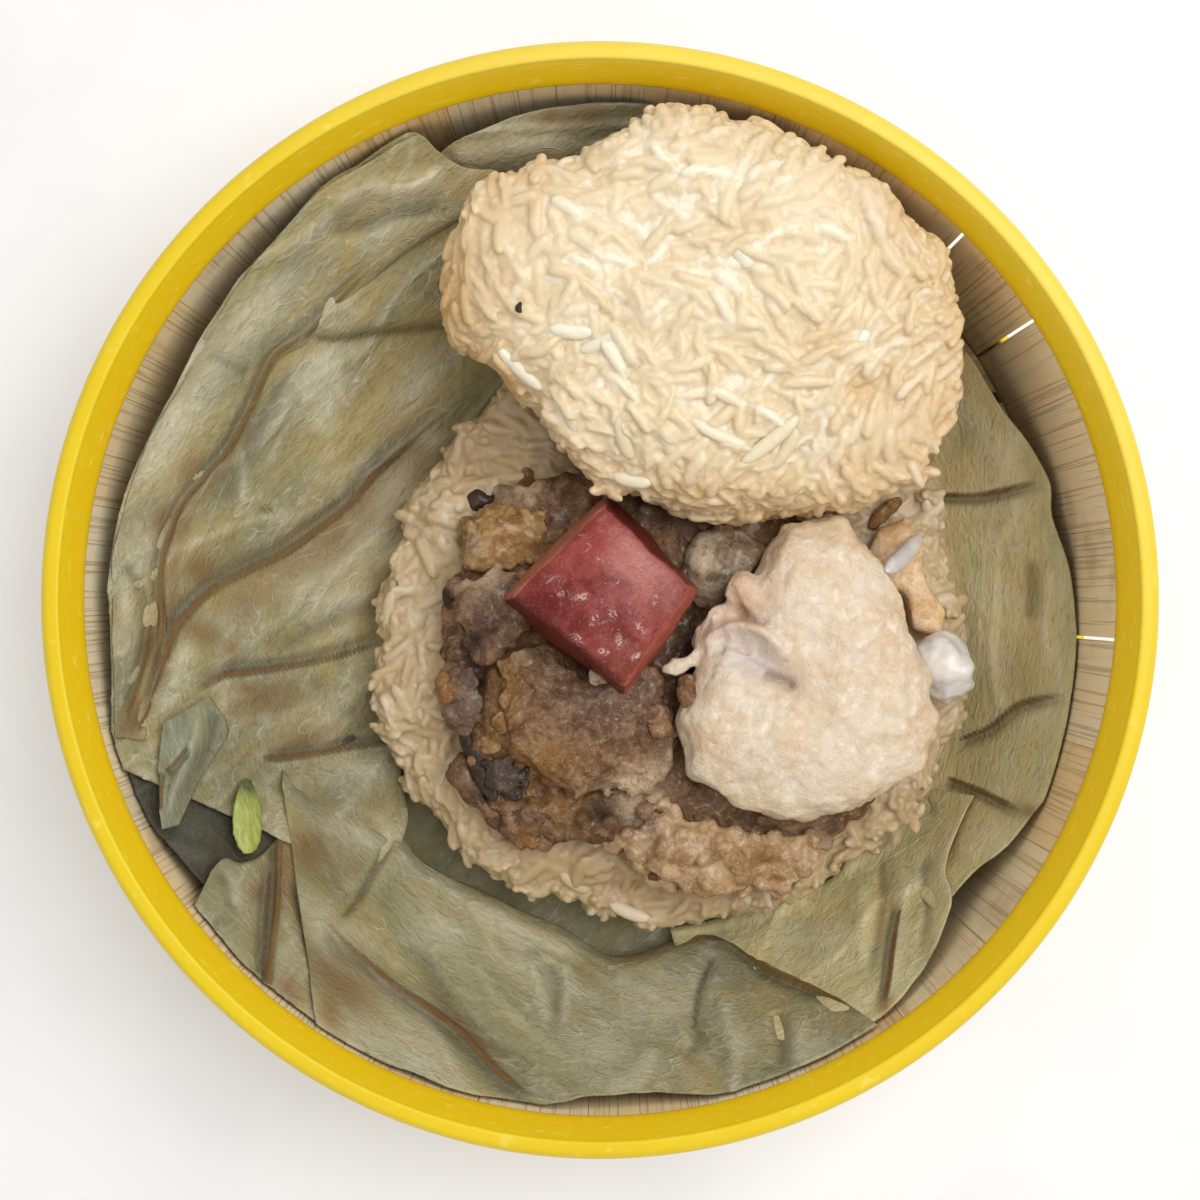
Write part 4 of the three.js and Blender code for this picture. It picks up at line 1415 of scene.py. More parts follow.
POCKET = Sheet(
    "leaf_pocket",
    outer=(
        (690, 1000), (730, 1030), (790, 1040), (850, 1034), (886, 1015), (912, 985), (930, 960),
        (947, 920), (951, 892), (944, 868), (957, 830), (974, 796),
    ),
    inner=(
        (670, 930), (700, 924), (731, 916), (770, 902), (802, 892), (830, 880), (843, 866), (853, 840),
        (868, 812), (886, 799), (910, 792), (938, 790),
    ),
    layer=1,
    lines=(
        Line(RIDGE, ((901, 860), (903, 900), (896, 950), (886, 1000)), 8, 1.3),
        Line(VALLEY, ((880, 850), (884, 890), (880, 940), (868, 985)), 8, 1.2),
        Line(RIDGE, ((860, 880), (862, 920), (856, 960)), 9, 1.0),
        Line(RIDGE, ((887, 810), (892, 826), (894, 843)), 5, 1.2),
        Line(VALLEY, ((890, 806), (905, 800), (925, 803), (932, 818)), 5, 1.8),
        Line(RIDGE, ((970, 794), (955, 828), (941, 866), (949, 889), (947, 917)), 7, 1.5),
        Line(VALLEY, ((930, 850), (925, 880), (930, 915), (920, 960)), 7, 1.3),
        Line(VEIN, ((902, 900), (893, 950), (884, 1010)), 2.6, 0.5),
        Line(RIDGE, ((760, 930), (820, 940), (870, 935)), 14, 0.8),
    ),
    stains=(Spot((884, 1005), 14, 0.6, 90), Spot((935, 960), 16, 0.5, 110)),
    pales=(Spot((896, 830), 10, 1.6), Spot((830, 960), 34, 0.5, -10)), tuck=1.0,
)

RIGHT_FLAP = Sheet(
    "leaf_right",
    outer=(
        (966, 352), (977, 366), (1002, 408), (1031, 447), (1049, 482), (1052, 519), (1069, 569),
        (1076, 626), (1078, 690), (1075, 744), (1059, 779), (1030, 819), (1001, 851), (976, 870),
        (951, 897), (938, 912),
    ),
    inner=(
        (925, 420), (915, 440), (918, 460), (922, 480), (925, 510), (930, 550), (935, 590), (940, 640),
        (940, 680), (935, 720), (925, 750), (905, 780), (895, 800), (890, 820), (885, 840), (880, 860),
    ),
    layer=0,
    lines=(
        Line(VEIN, ((930, 493), (950, 495), (987, 494), (1048, 479)), 3.2, 0.6),
        Line(VEIN, ((955, 742), (972, 736), (994, 726), (1023, 704), (1076, 692)), 3.2, 0.6),
        Line(VEIN, ((944, 777), (960, 783), (987, 794), (1028, 815)), 3.2, 0.6),
        Line(RIDGE, ((1044, 561), (1046, 590), (1042, 619), (1050, 683)), 7, 1.1),
        Line(VALLEY, ((1030, 555), (1032, 590), (1030, 625)), 10, 0.9),
        Line(VALLEY, ((976, 797), (962, 812), (955, 829), (944, 876)), 7, 2.0),
        Line(RIDGE, ((985, 420), (1000, 460), (1010, 500), (1012, 560)), 16, 0.8),
        Line(RIDGE, ((968, 560), (985, 620), (990, 690)), 18, 0.7),
        Line(RIDGE, ((965, 860), (980, 840), (1000, 820)), 12, 1.0),
    ),
    stains=(Spot((1030, 812), 16, 0.5, 20),),
    pales=(Spot((1000, 600), 40, 0.35, 80), Spot((990, 440), 40, 0.3, 60)), crumple=0.6, run=80,
)

SCRAP = Sheet(
    "leaf_scrap", outer=((163, 722), (159, 750), (157, 775), (158, 800), (162, 829)),
    inner=((209, 697), (228, 730), (214, 755), (198, 782), (178, 826)), layer=3.2,
    lines=(
        Line(RIDGE, ((205, 700), (196, 740), (180, 780), (166, 822)), 8, 1.6),
        Line(VALLEY, ((214, 712), (210, 745), (192, 780)), 7, 1.3),
        Line(VEIN, ((163, 772), (172, 765), (190, 745)), 2.4, 0.4),
        Line(VEIN, ((163, 772), (160, 790), (160, 812)), 2.4, 0.4),
    ),
    pales=(Spot((178, 750), 24, 0.8, 100), Spot((175, 800), 20, 0.7, 110)), crumple=0.5, ragged=1.0,
    step=0.5,
)


@dataclass
class Leaf:
    """The lotus leaf that the parcel was wrapped in, opened out in the basket."""

    bed_half: float = 79.0
    bed_top: float = 9.2
    sheets: tuple[Sheet, ...] = (
        LEFT_FLAP, CORNER, TOP_FLAP, RIGHT_FLAP, LEFT_EDGE, POCKET, LOWER_LEFT, BOTTOM_FLAP, SCRAP,
    )

    def build(self) -> None:
        """Makes every sheet, the scrap and the stub of stalk."""
        olive = LotusLeaf().make()
        # A paler copy for the right flap and the pocket: painted light on leaf that lies in the shade of
        # the wall.
        green = LotusLeaf(
            "lotus_leaf_green", olive=srgb(198, 186, 132), tan=srgb(212, 192, 136),
            grey=srgb(196, 190, 146), bloom=srgb(226, 218, 180), run=80,
        ).make()
        low = LotusLeaf(
            "lotus_leaf_low", olive=srgb(134, 130, 92), tan=srgb(160, 144, 96), grey=srgb(144, 142, 114),
            bloom=srgb(200, 194, 166), run=-40,
        ).make()
        shaded = LotusLeaf(
            "lotus_leaf_shaded", olive=srgb(118, 118, 88), tan=srgb(132, 126, 90),
            grey=srgb(114, 118, 100), bloom=srgb(168, 170, 146), run=110,
        ).make()
        dark = LotusLeaf(
            "lotus_leaf_dark", olive=srgb(70, 66, 50), tan=srgb(80, 72, 54), grey=srgb(66, 68, 60),
            bloom=srgb(96, 96, 86),
        ).make()
        self._bed(olive)
        finishes = {
            "leaf_corner": dark, "leaf_scrap": shaded, "leaf_right": green, "leaf_pocket": green,
            "leaf_bottom": low, "leaf_lower_left": low,
        }
        for seed, sheet in enumerate(self.sheets, start=3):
            sheet.build(finishes.get(sheet.node, olive), seed)
        self._stub()

    def _bed(self, finish: bpy.types.Material) -> None:
        """The sheet that lies under everything."""
        steps = np.linspace(-1, 1, 72)
        across, down = np.meshgrid(steps, steps)
        x = self.bed_half * across * np.sqrt(1 - down**2 / 2)
        y = self.bed_half * down * np.sqrt(1 - across**2 / 2)
        points = np.stack([x, y, np.full_like(x, self.bed_top)], axis=2)
        flat = points.reshape(-1, 3)
        noise = Noise(2)
        lift = 0.45 * noise.layered(flat, 12) * rise(np.hypot(flat[:, 0], flat[:, 1]), 78, 70)
        points[..., 2] += lift.reshape(x.shape)
        skin = Skin.grid(points, 0.7)
        skin.marks = {name: np.zeros(len(skin.points)) for name in ("vein", "stain", "pale")}
        # Painted shade over the whole bed, which shows only through shaded gaps.
        skin.marks["groove"] = np.full(len(skin.points), 0.25)
        skin.piece("leaf_bed_sheet", finish, "leaf", ["leaf_bed"])

    def _stub(self) -> None:
        """The green end of the stalk, cut square and soft."""
        recipe = Recipe("leaf_stalk")
        tip = recipe.mark("tip")
        grain = recipe.noise(0.8, 4, at=recipe.stretched(1, 0.2, 1))
        colour = recipe.layers(
            srgb(150, 160, 74),
            (srgb(176, 184, 104), grain.step(0.35, 0.7)),
            (srgb(70, 74, 48), tip * 0.85 + recipe.noise(2).step(0.6, 0.7) * 0.2),
        )
        finish = recipe.finish(
            Base_Color=colour, Roughness=0.4 + grain * 0.2, Normal=recipe.bumped(grain, 0.25),
            Subsurface_Weight=0.15, Subsurface_Radius=(0.4, 1.0, 0.2), Subsurface_Scale=0.001,
        )
        skin = Skin.of_node("leaf_stub").evened(0.4).smoothed(3)
        low, high = skin.points.min(0), skin.points.max(0)
        share = (skin.points[:, 1] - low[1]) / (high[1] - low[1])
        middle = (low + high) / 2
        skin.points[:, 0] = middle[0] + (skin.points[:, 0] - middle[0]) * (1.25 - 0.55 * share)
        skin.points[:, 2] += 0.25 * Noise(9).folds(skin.points * (3, 0.6, 3), 3)
        skin.marks["tip"] = rise(share, 0.62, 0.95)
        skin.piece("stalk_stub", finish, "leaf_stalk", ["leaf_stub"])


# Rice


class Ground:
    """What has been laid so far, so that a loose bit can be set down where the photo shows it."""

    def __init__(self) -> None:
        """Nothing is laid yet."""
        self.trees: list[BVHTree] = []

    def lay(self, skin: Skin) -> None:
        """Adds a surface."""
        self.trees.append(BVHTree.FromPolygons(skin.points.tolist(), skin.faces.tolist()))

    def under(self, pixel: tuple[float, float]) -> tuple[np.ndarray, np.ndarray]:
        """The place that shows at a pixel, and the way that it faces.

        Args:
            pixel: the pixel.

        Returns:
            The nearest point of what is laid, and its normal, or a point low in the basket.
        """
        eye = Vector((0, 0, VIEW.height))
        aim = Vector(VIEW.points(np.array([pixel], float), np.array([0.0]))[0]) - eye
        hits = [tree.ray_cast(eye, aim.normalized()) for tree in self.trees]
        hits = [hit for hit in hits if hit[0] is not None]
        if not hits:
            return VIEW.points(np.array([pixel], float), np.array([20.0]))[0], np.array((0, 0, 1.0))
        place, normal = min(hits, key=lambda hit: hit[3])[:2]
        return np.array(place), np.array(normal if normal.z > 0 else -normal)


GROUND = Ground()


@dataclass(frozen=True)
class StickyRice:
    """Cooked glutinous rice: cloudy, glazed grains, with painted shade in warm amber in the gaps between
    them.
    """

    name: str
    grain: tuple = srgb(229, 212, 178)
    chalk: tuple = srgb(243, 236, 218)
    soaked: tuple = srgb(206, 170, 118)
    gap: tuple = srgb(208, 168, 108)

    def make(self) -> bpy.types.Material:
        """The material."""
        recipe = Recipe(self.name)
        tone, gap, soak = (recipe.mark(name) for name in ("tone", "gap", "soak"))
        cloud = recipe.noise(1.6, 3)
        wide = recipe.noise(15, 2)
        colour = recipe.layers(
            self.grain,
            (self.chalk, tone.step(0.6, 1.0) * 0.75),
            (self.soaked, tone.step(0.5, 0.0) * 0.16 + wide.step(0.45, 0.75) * 0.16),
            # The soak and shade mark is partly real soaking and partly painted shade.
            (self.soaked, soak * 0.9),
            (self.chalk, cloud.step(0.5, 0.75) * 0.25 * (1 - soak)),
            # Painted shade in the gaps between the grains.
            (self.gap, gap * (0.55 + soak * 0.3)),
        )
        return recipe.finish(
            Base_Color=colour, Roughness=0.26 + cloud * 0.2, Normal=recipe.bumped(cloud, 0.18),
            Subsurface_Weight=0.3, Subsurface_Radius=(1.0, 0.6, 0.3), Subsurface_Scale=0.0022,
            Specular_IOR_Level=0.4,
        )


@dataclass(frozen=True)
class Grain:
    """One cooked grain: a long pip, blunt at its ends and a little bent."""

    length: float = 7.2
    width: float = 2.6
    thick: float = 2.0
    sides: int = 8
    rings: int = 7
    bend: float = 0.22

    def skin(self) -> Skin:
        """The grain, lying along +X with its middle at the origin."""
        places = -np.cos(np.linspace(0.16, math.pi - 0.16, self.rings))
        girth = (1 - np.abs(places) ** 3.4) ** 0.55
        angles = np.linspace(0, 2 * math.pi, self.sides, endpoint=False)
        rings = []
        for place, width in zip(places, girth):
            lift = self.bend * (1 - place**2)
            y = np.cos(angles) * width * self.width / 2 - 1.6 * lift
            z = np.sin(angles) * width * self.thick / 2 - 0.4 * lift
            rings.append(np.column_stack([np.full(self.sides, place * self.length / 2), y, z]))
        tips = [(-self.length / 2, 0, 0), (self.length / 2, 0, 0)]
        points = np.concatenate([*rings, tips])
        faces = []
        for ring in range(self.rings - 1):
            low = ring * self.sides
            for at in range(self.sides):
                after = (at + 1) % self.sides
                a, b, c, d = low + at, low + after, low + after + self.sides, low + at + self.sides
                faces += [(a, c, b), (a, d, c)]
        first, last = len(points) - 2, len(points) - 1
        end = (self.rings - 1) * self.sides
        for at in range(self.sides):
            after = (at + 1) % self.sides
            faces += [(first, at, after), (last, end + after, end + at)]
        return Skin(points, np.array(faces)[:, ::-1])


@dataclass
class Bedding:
    """Grains laid on a surface: where and how each lies, its size and its tone."""

    places: np.ndarray
    axes: np.ndarray
    sizes: np.ndarray
    tones: np.ndarray

    def skins(self, grain: Grain) -> Skin:
        """All of the grains as one surface of triangles."""
        pip = grain.skin()
        points = (pip.points * self.sizes[:, None]) @ self.axes + self.places[:, None]
        faces = pip.faces + len(pip.points) * np.arange(len(self.places))[:, None, None]
        return Skin(points.reshape(-1, 3), faces.reshape(-1, 3))

    def tone_at(self, points: np.ndarray, reach: float) -> np.ndarray:
        """The tone of the nearest grain to each point, which fades to a middling tone.

        Args:
            points: the points.
            reach: how far from its middle the outer thirds of a grain lie.

        Returns:
            The tones.
        """
        along = self.axes[:, 0] * self.sizes[:, :1]
        tree = KDTree(3 * len(self.places))
        for shift in (-1, 0, 1):
            for index, place in enumerate(self.places + shift * reach * along):
                tree.insert(place, index)
        tree.balance()
        found = [tree.find(point) for point in points]
        near = rise(np.array([distance for _, _, distance in found]), 2.2, 1.4)
        return 0.45 + near * (self.tones[[index for _, index, _ in found]] - 0.45)

    def owners(self, points: np.ndarray, grain: Grain) -> np.ndarray:
        """The grain that each point lies nearest to."""
        pip = grain.skin().points[:-2].reshape(grain.rings, grain.sides, 3).mean(1)
        spine = (pip * self.sizes[:, None]) @ self.axes + self.places[:, None]
        tree = KDTree(spine.shape[0] * grain.rings)
        for index, place in enumerate(spine.reshape(-1, 3)):
            tree.insert(place, index)
        tree.balance()
        return np.array([tree.find(point)[1] for point in points]) // grain.rings

    def with_more(self, other: "Bedding") -> "Bedding":
        """These grains and others."""
        pairs = ((getattr(self, each.name), getattr(other, each.name)) for each in fields(self))
        return Bedding(*map(np.concatenate, pairs))


@dataclass(frozen=True)
class Scatter:
    """How grains are scattered: how close, how deep, how tipped, and how far they agree."""

    spacing: float
    lowest: float
    highest: float
    tilt: float = 0.22
    agree: float = 1.2
    agree_size: float = 13.0
    steepest: float = -0.8

    def over(
        self, skin: Skin, hidden: Callable[[np.ndarray], np.ndarray],
        flow: Callable[[np.ndarray], np.ndarray], seed: int,
    ) -> Bedding:
        """Scatters grains evenly on a surface.

        Args:
            skin: the surface.
            hidden: which places don't show, and so get none.
            flow: the way that the grains tend to point, for some places.
            seed: for its random draws.

        Returns:
            The grains.
        """
        random = np.random.default_rng(seed)
        normals = skin.normals()
        shows = ~hidden(skin.points) & (normals[:, 2] > self.steepest)
        order = random.permutation(np.flatnonzero(shows))
        kept: list[int] = []
        places = np.empty((len(order), 3))
        for index in order:
            point = skin.points[index] + random.uniform(-0.25, 0.25, 3)
            if kept and (((places[: len(kept)] - point) ** 2).sum(1) < self.spacing**2).any():
                continue
            places[len(kept)] = point
            kept.append(int(index))
        places = places[: len(kept)]
        out = normals[kept]
        drift = [Noise(seed + axis).soft(places, self.agree_size) for axis in (1, 2, 3)]
        way = random.normal(size=(len(kept), 3)) + 2.4 * self.agree * np.column_stack(drift)
        way = self._across(way + flow(places), out)
        tipped = np.tan(random.uniform(-self.tilt, self.tilt, len(kept)))
        way = self._across(way, out) + out * tipped[:, None]
        way /= np.linalg.norm(way, axis=1)[:, None]
        side = self._across(np.cross(out, way), way)
        axes = np.stack([way, side, np.cross(way, side)], axis=1)
        sizes = random.uniform((0.72, 0.82, 0.84), (1.15, 1.12, 1.1), (len(kept), 3))
        laid = places + out * random.uniform(self.lowest, self.highest, len(kept))[:, None]
        return Bedding(laid, axes, sizes, random.uniform(0, 1, len(kept)))

    @staticmethod
    def _across(ways: np.ndarray, out: np.ndarray) -> np.ndarray:
        """Ways turned square to others, and made one long."""
        ways = ways - (ways * out).sum(1)[:, None] * out
        return ways / np.maximum(np.linalg.norm(ways, axis=1), 1e-9)[:, None]


@dataclass(frozen=True)
class Hero:
    """A grain that stands out in the photo: the pixels of its two ends."""

    start: tuple[float, float]
    end: tuple[float, float]
    tone: float = 1.0
    soak: float = 0.0

    def skin(self, grain: Grain, sunk: float = 0.35) -> Skin:
        """The grain, laid where it shows.

        Args:
            grain: its form.
            sunk: how far its middle lies under what it is laid on.

        Returns:
            Its surface.
        """
        (start, out), (end, other) = GROUND.under(self.start), GROUND.under(self.end)
        start, end = start - out * sunk, end - other * sunk
        way = (end - start) / np.linalg.norm(end - start)
        side = np.cross(out + other, way)
        side /= np.linalg.norm(side)
        axes = np.array([way, side, np.cross(way, side)])
        pip = grain.skin()
        size = np.array([np.linalg.norm(end - start) / grain.length, 1.0, 1.0])
        points = (pip.points * size) @ axes + (start + end) / 2
        plain = np.ones(len(points))
        marks = {"tone": plain * self.tone, "gap": plain * 0, "soak": plain * self.soak}
        return Skin(points, pip.faces, marks)


@dataclass
class RiceLump:
    """A lump of rice: grains fused in a sticky core, and crisper ones that stand proud of it."""

    name: str
    node: str
    soak: Callable[[np.ndarray, np.ndarray], np.ndarray]
    hidden: Callable[[np.ndarray], np.ndarray]
    flow: Callable[[np.ndarray], np.ndarray]
    dents: tuple[tuple[Spot, float], ...] = ()
    heroes: tuple[Hero, ...] = ()
    melted: tuple[Spot, ...] = ()
    bedded: Scatter = Scatter(2.5, -0.9, -0.2, 0.12, 2.0, 14)
    proud: Scatter = Scatter(3.0, -0.3, 0.35, 0.14, 2.0, 14, steepest=-0.6)
    swell: float = 1.4
    swell_size: float = 11.0
    inset: float = 0.9
    voxel: float = 0.36
    keep: float = 0.58
    seed: int = 1
    grain: Grain = Grain()
    hero_grain: Grain = Grain(width=2.5, thick=1.9, sides=12, rings=10)

    def build(self, finish: bpy.types.Material) -> None:
        """Makes the fused lump and its proud grains."""
        core = Skin.of_node(self.node).evened(0.95).smoothed(24)
        pixels = VIEW.pixels(core.points)
        core.pushed(self.swell * Noise(self.seed).layered(core.points, self.swell_size, 2) - self.inset)
        for spot, depth in self.dents:
            core.pushed(-depth * spot.share(pixels))
        core.smoothed(3)
        bedding = self.bedded.over(core, self.hidden, self.flow, self.seed)
        bedding = bedding.with_more(self.proud.over(core, self.hidden, self.flow, self.seed + 50))
        fused = Skin.joined([core.triangles(), bedding.skins(self.grain)])
        lump = fused.evened(self.voxel, self.keep).smoothed(1, 0.25)
        owners = bedding.owners(lump.points, self.grain)
        seams = lump.seams(owners, 1) * rise(Noise(self.seed + 3).soft(lump.points, 9), -0.9, -0.1)
        pixels = VIEW.pixels(lump.points)
        seams *= 1 - 0.8 * np.max([spot.share(pixels) for spot in self.melted], axis=0)
        lump.pushed(0.1 - 0.32 * seams)
        # The gap mark is painted shade in the seams between the grains and in the hollows of the lump.
        lump.marks = {
            "tone": bedding.tones[owners],
            "gap": np.clip(0.36 * seams + rise(lump.hollows(8), 0.14, 0.65), 0, 1),
            "soak": self.soak(lump.points, lump.normals()),
        }
        lump.piece(self.name, finish, "rice", [self.node])
        GROUND.lay(lump)
        grains = Skin.joined(hero.skin(self.hero_grain) for hero in self.heroes)
        grains.piece(f"{self.name}_grains", finish, "rice")


@dataclass
class Rice:
    """The sticky rice: the half that lies in the leaf, and the half turned back on the rim."""

    def build(self) -> None:
        """Makes both lumps."""
        lower = StickyRice(
            "rice_lower", grain=srgb(202, 182, 146), chalk=srgb(220, 206, 182),
            soaked=srgb(176, 146, 104), gap=srgb(156, 122, 80),
        )
        self._base().build(lower.make())
        self._top().build(StickyRice("rice_upper").make())

    @staticmethod
    def _top() -> RiceLump:
        """The upper half, soaked amber where it was torn away at its front left."""
        amber = (
            (Spot((488, 388), 46, 0.7, 20), 1.0), (Spot((448, 300), 26, 2.0), 0.6),
            (Spot((560, 470), 50, 0.5, 45), 0.7), (Spot((700, 500), 130, 0.3, 6), 0.6),
            (Spot((740, 130), 60, 0.6, 20), 0.4), (Spot((880, 200), 70, 0.5, 50), 0.35),
            (Spot((530, 290), 20, 1.0), 0.3), (Spot((830, 340), 26, 1.0), 0.3),
            (Spot((862, 390), 12, 1.4), 0.8), (Spot((795, 500), 40, 0.6), 0.3),
        )

        def soak(points: np.ndarray, normals: np.ndarray) -> np.ndarray:
            """How soaked some places are, with painted shade added, from 0 to 1."""
            pixels = VIEW.pixels(points)
            stain = np.max([share * spot.share(pixels) for spot, share in amber], axis=0)
            # Painted shade: darker towards the far edge, on faces that turn down and lower on the lump; the
            # stain spots are real soaking.
            far = 0.55 * rise(np.hypot(points[:, 0] - 17, points[:, 1] - 46), 24, 41)
            under = 0.5 * rise(normals[:, 2], 0.25, -0.3)
            return np.clip(0.9 * stain + far + under + 0.3 * rise(points[:, 2], 42, 32), 0, 1)

        def hidden(points: np.ndarray) -> np.ndarray:
            """Which places are covered."""
            return (points[:, 2] < 31) & (points[:, 1] > 22)

        def flow(places: np.ndarray) -> np.ndarray:
            """The way that the grains tend to point."""
            front = rise(places[:, 1], 42, 14)[:, None]
            out = places - (17, 60, 50)
            return 2.6 * front * out / np.linalg.norm(out, axis=1)[:, None]

        heroes = (
            Hero((656, 140), (702, 121)), Hero((497, 349), (541, 391), 1.0, 0.1),
            Hero((588, 486), (640, 508), 1.0, 0.2), Hero((838, 362), (870, 330), 0.9),
            Hero((548, 328), (592, 333), 0.9), Hero((733, 240), (752, 268), 0.9),
            Hero((612, 476), (652, 484), 0.8, 0.1), Hero((690, 418), (752, 446), 0.8),
            Hero((742, 462), (800, 416), 0.7), Hero((772, 470), (796, 428), 0.5, 0.1),
            Hero((618, 416), (632, 460), 0.6, 0.1), Hero((655, 416), (682, 468), 0.6, 0.1),
            Hero((566, 404), (584, 450), 0.5, 0.1), Hero((580, 352), (625, 330), 0.8),
        )
        dents = (
            (Spot((482, 385), 44, 0.6, 15), 2.6), (Spot((536, 388), 20, 1.6, 0), 2.2),
            (Spot((862, 392), 9, 1.3), 1.4), (Spot((808, 335), 12), 0.9),
            (Spot((790, 455), 14, 0.6, 60), 0.9), (Spot((740, 105), 16, 1.4, 20), 1.4),
            (Spot((600, 470), 60, 0.3, 20), 1.0),
        )
        melted = (
            Spot((560, 235), 90, 0.7, 150), Spot((690, 170), 90, 0.5, 20), Spot((720, 290), 80, 0.5),
            Spot((800, 250), 70, 0.6, 60),
        )
        return RiceLump("rice_half_upper", "rice_top", soak, hidden, flow, dents, heroes, melted, seed=11)

    @staticmethod
    def _base() -> RiceLump:
        """The lower half, in the leaf, mostly under the filling."""

        def soak(points: np.ndarray, normals: np.ndarray) -> np.ndarray:
            """How soaked some places are, with painted shade added, from 0 to 1."""
            pixels = VIEW.pixels(points)
            inside = rise(np.hypot(points[:, 0] - 13, points[:, 1] + 14), 48, 38)
            damp = Spot((470, 460), 60, 0.8).share(pixels)
            # The pale spot lightens a shaded place on the right: painted light.
            pale = Spot((940, 570), 110, 0.6, 85).share(pixels)
            # The rice is darker towards the bottom, and painted shade lies on faces that turn sideways.
            low = rise(points[:, 2], 20, 12)
            side = 0.25 * rise(normals[:, 2], 0.6, 0.1)
            return np.clip(0.5 * inside + 0.4 * low + 0.2 + side + 0.3 * damp - 1.1 * pale, 0, 1)

        def hidden(points: np.ndarray) -> np.ndarray:
            """Which places are covered."""
            under_filling = np.hypot((points[:, 0] - 14) / 27, (points[:, 1] + 14) / 23) < 1
            under_top = (points[:, 1] > 28) & (np.abs(points[:, 0] - 17) < 30)
            return (under_filling & (points[:, 2] > 20)) | (points[:, 2] < 11.5) | under_top

        def flow(places: np.ndarray) -> np.ndarray:
            """The way that the grains tend to point."""
            return np.zeros_like(places)

        heroes = (
            Hero((408, 540), (390, 592), 0.8), Hero((392, 590), (386, 634), 0.7),
            Hero((769, 868), (772, 910), 1.0), Hero((608, 903), (650, 918), 1.0),
            Hero((452, 770), (430, 800), 0.7), Hero((412, 680), (420, 722), 0.6),
            Hero((735, 872), (750, 905), 0.9), Hero((888, 538), (916, 556), 1.0),
            Hero((560, 872), (590, 892), 0.6), Hero((925, 500), (940, 535), 0.8),
            Hero((690, 895), (700, 925), 0.7), Hero((500, 850), (470, 862), 0.7),
        )
        dents = (
            (Spot((382, 640), 12), 1.2), (Spot((370, 730), 14), -1.2), (Spot((395, 560), 14, 1.6), -1.2),
            (Spot((430, 830), 16), 1.0), (Spot((650, 925), 24, 0.5), -1.4),
        )
        return RiceLump(
            "rice_half_lower", "rice_base", soak, hidden, flow, dents, heroes,
            (Spot((440, 540), 60, 0.6, 110), Spot((930, 620), 60, 0.4, 90)), seed=23,
            swell=2.0, swell_size=9.0, inset=1.4, voxel=0.4, keep=0.47,
        )


# Filling


class Tint(Enum):
    """A colour that a patch of the filling takes, by the mark that holds it."""

    GREY = "grey"
    AMBER = "amber"
    PALE = "pale"
    DARK = "dark"


@dataclass(frozen=True)
class Glaze:
    """A moist food finish: two colours in patches, bright specks, tints and a wet surface, with painted
    shade in its hollows and painted highlights and glints on its crests.
    """

    name: str
    main: tuple
    second: tuple
    speck: tuple
    dark: tuple
    patch: float = 5.0
    specks: float = 0.4
    rough: float = 0.26
    bump: float = 0.4
    body: float = 0.1
    grey: tuple = srgb(100, 76, 64)
    amber: tuple = srgb(140, 100, 52)
    pale: tuple = srgb(206, 180, 148)
    glint: tuple = srgb(216, 200, 184)

    def make(self) -> bpy.types.Material:
        """The material."""
        recipe = Recipe(self.name)
        patch = recipe.noise(self.patch, 3, warp=1.2)
        fine = recipe.noise(1.5, 3, warp=1.6, rough=0.6)
        film = recipe.noise(4.5, 3, warp=2.0)
        grit = recipe.noise(0.4, 2)
        tone = recipe.mark("tone")
        tints = ((Tint.GREY, self.grey), (Tint.AMBER, self.amber), (Tint.PALE, self.pale))
        glints = recipe.threads(2.2, 0.02, 2, 2.0) * fine.step(0.52, 0.62)
        colour = recipe.layers(
            self.main,
            (self.second, patch.step(0.38, 0.64)),
            (self.speck, tone.step(0.55, 1.0) * 0.45),
            (self.dark, tone.step(0.35, 0.0) * 0.35),
            *((shade, recipe.mark(tint.value) * (0.5 + fine * 0.6)) for tint, shade in tints),
            (self.speck, film.step(0.5, 0.66) * 0.35),
            (self.dark, film.step(0.42, 0.26) * 0.5),
            # Painted shade in the hollows of the fine relief, and a painted highlight on its crests.
            (self.dark, fine.step(0.48, 0.3) * 0.4),
            (self.speck, fine.step(0.56, 0.7) * self.specks),
            (self.glint, grit.step(0.66, 0.76) * patch.step(0.45, 0.6) * 0.35),
            (self.glint, glints * 0.35),
            # Painted shade in the crevices.
            (self.dark, recipe.mark("crevice") * 0.75),
            (self.dark, recipe.mark(Tint.DARK.value) * 0.9),
        )
        return recipe.finish(
            Base_Color=colour, Roughness=self.rough + grit * 0.2 + fine * 0.1,
            Normal=recipe.bumped(fine + grit * 0.35, self.bump), Subsurface_Weight=self.body,
            Subsurface_Radius=(1.0, 0.45, 0.25), Subsurface_Scale=0.0016, Specular_IOR_Level=0.2,
            Coat_Weight=film.step(0.45, 0.6) * 0.4, Coat_Roughness=0.15,
        )


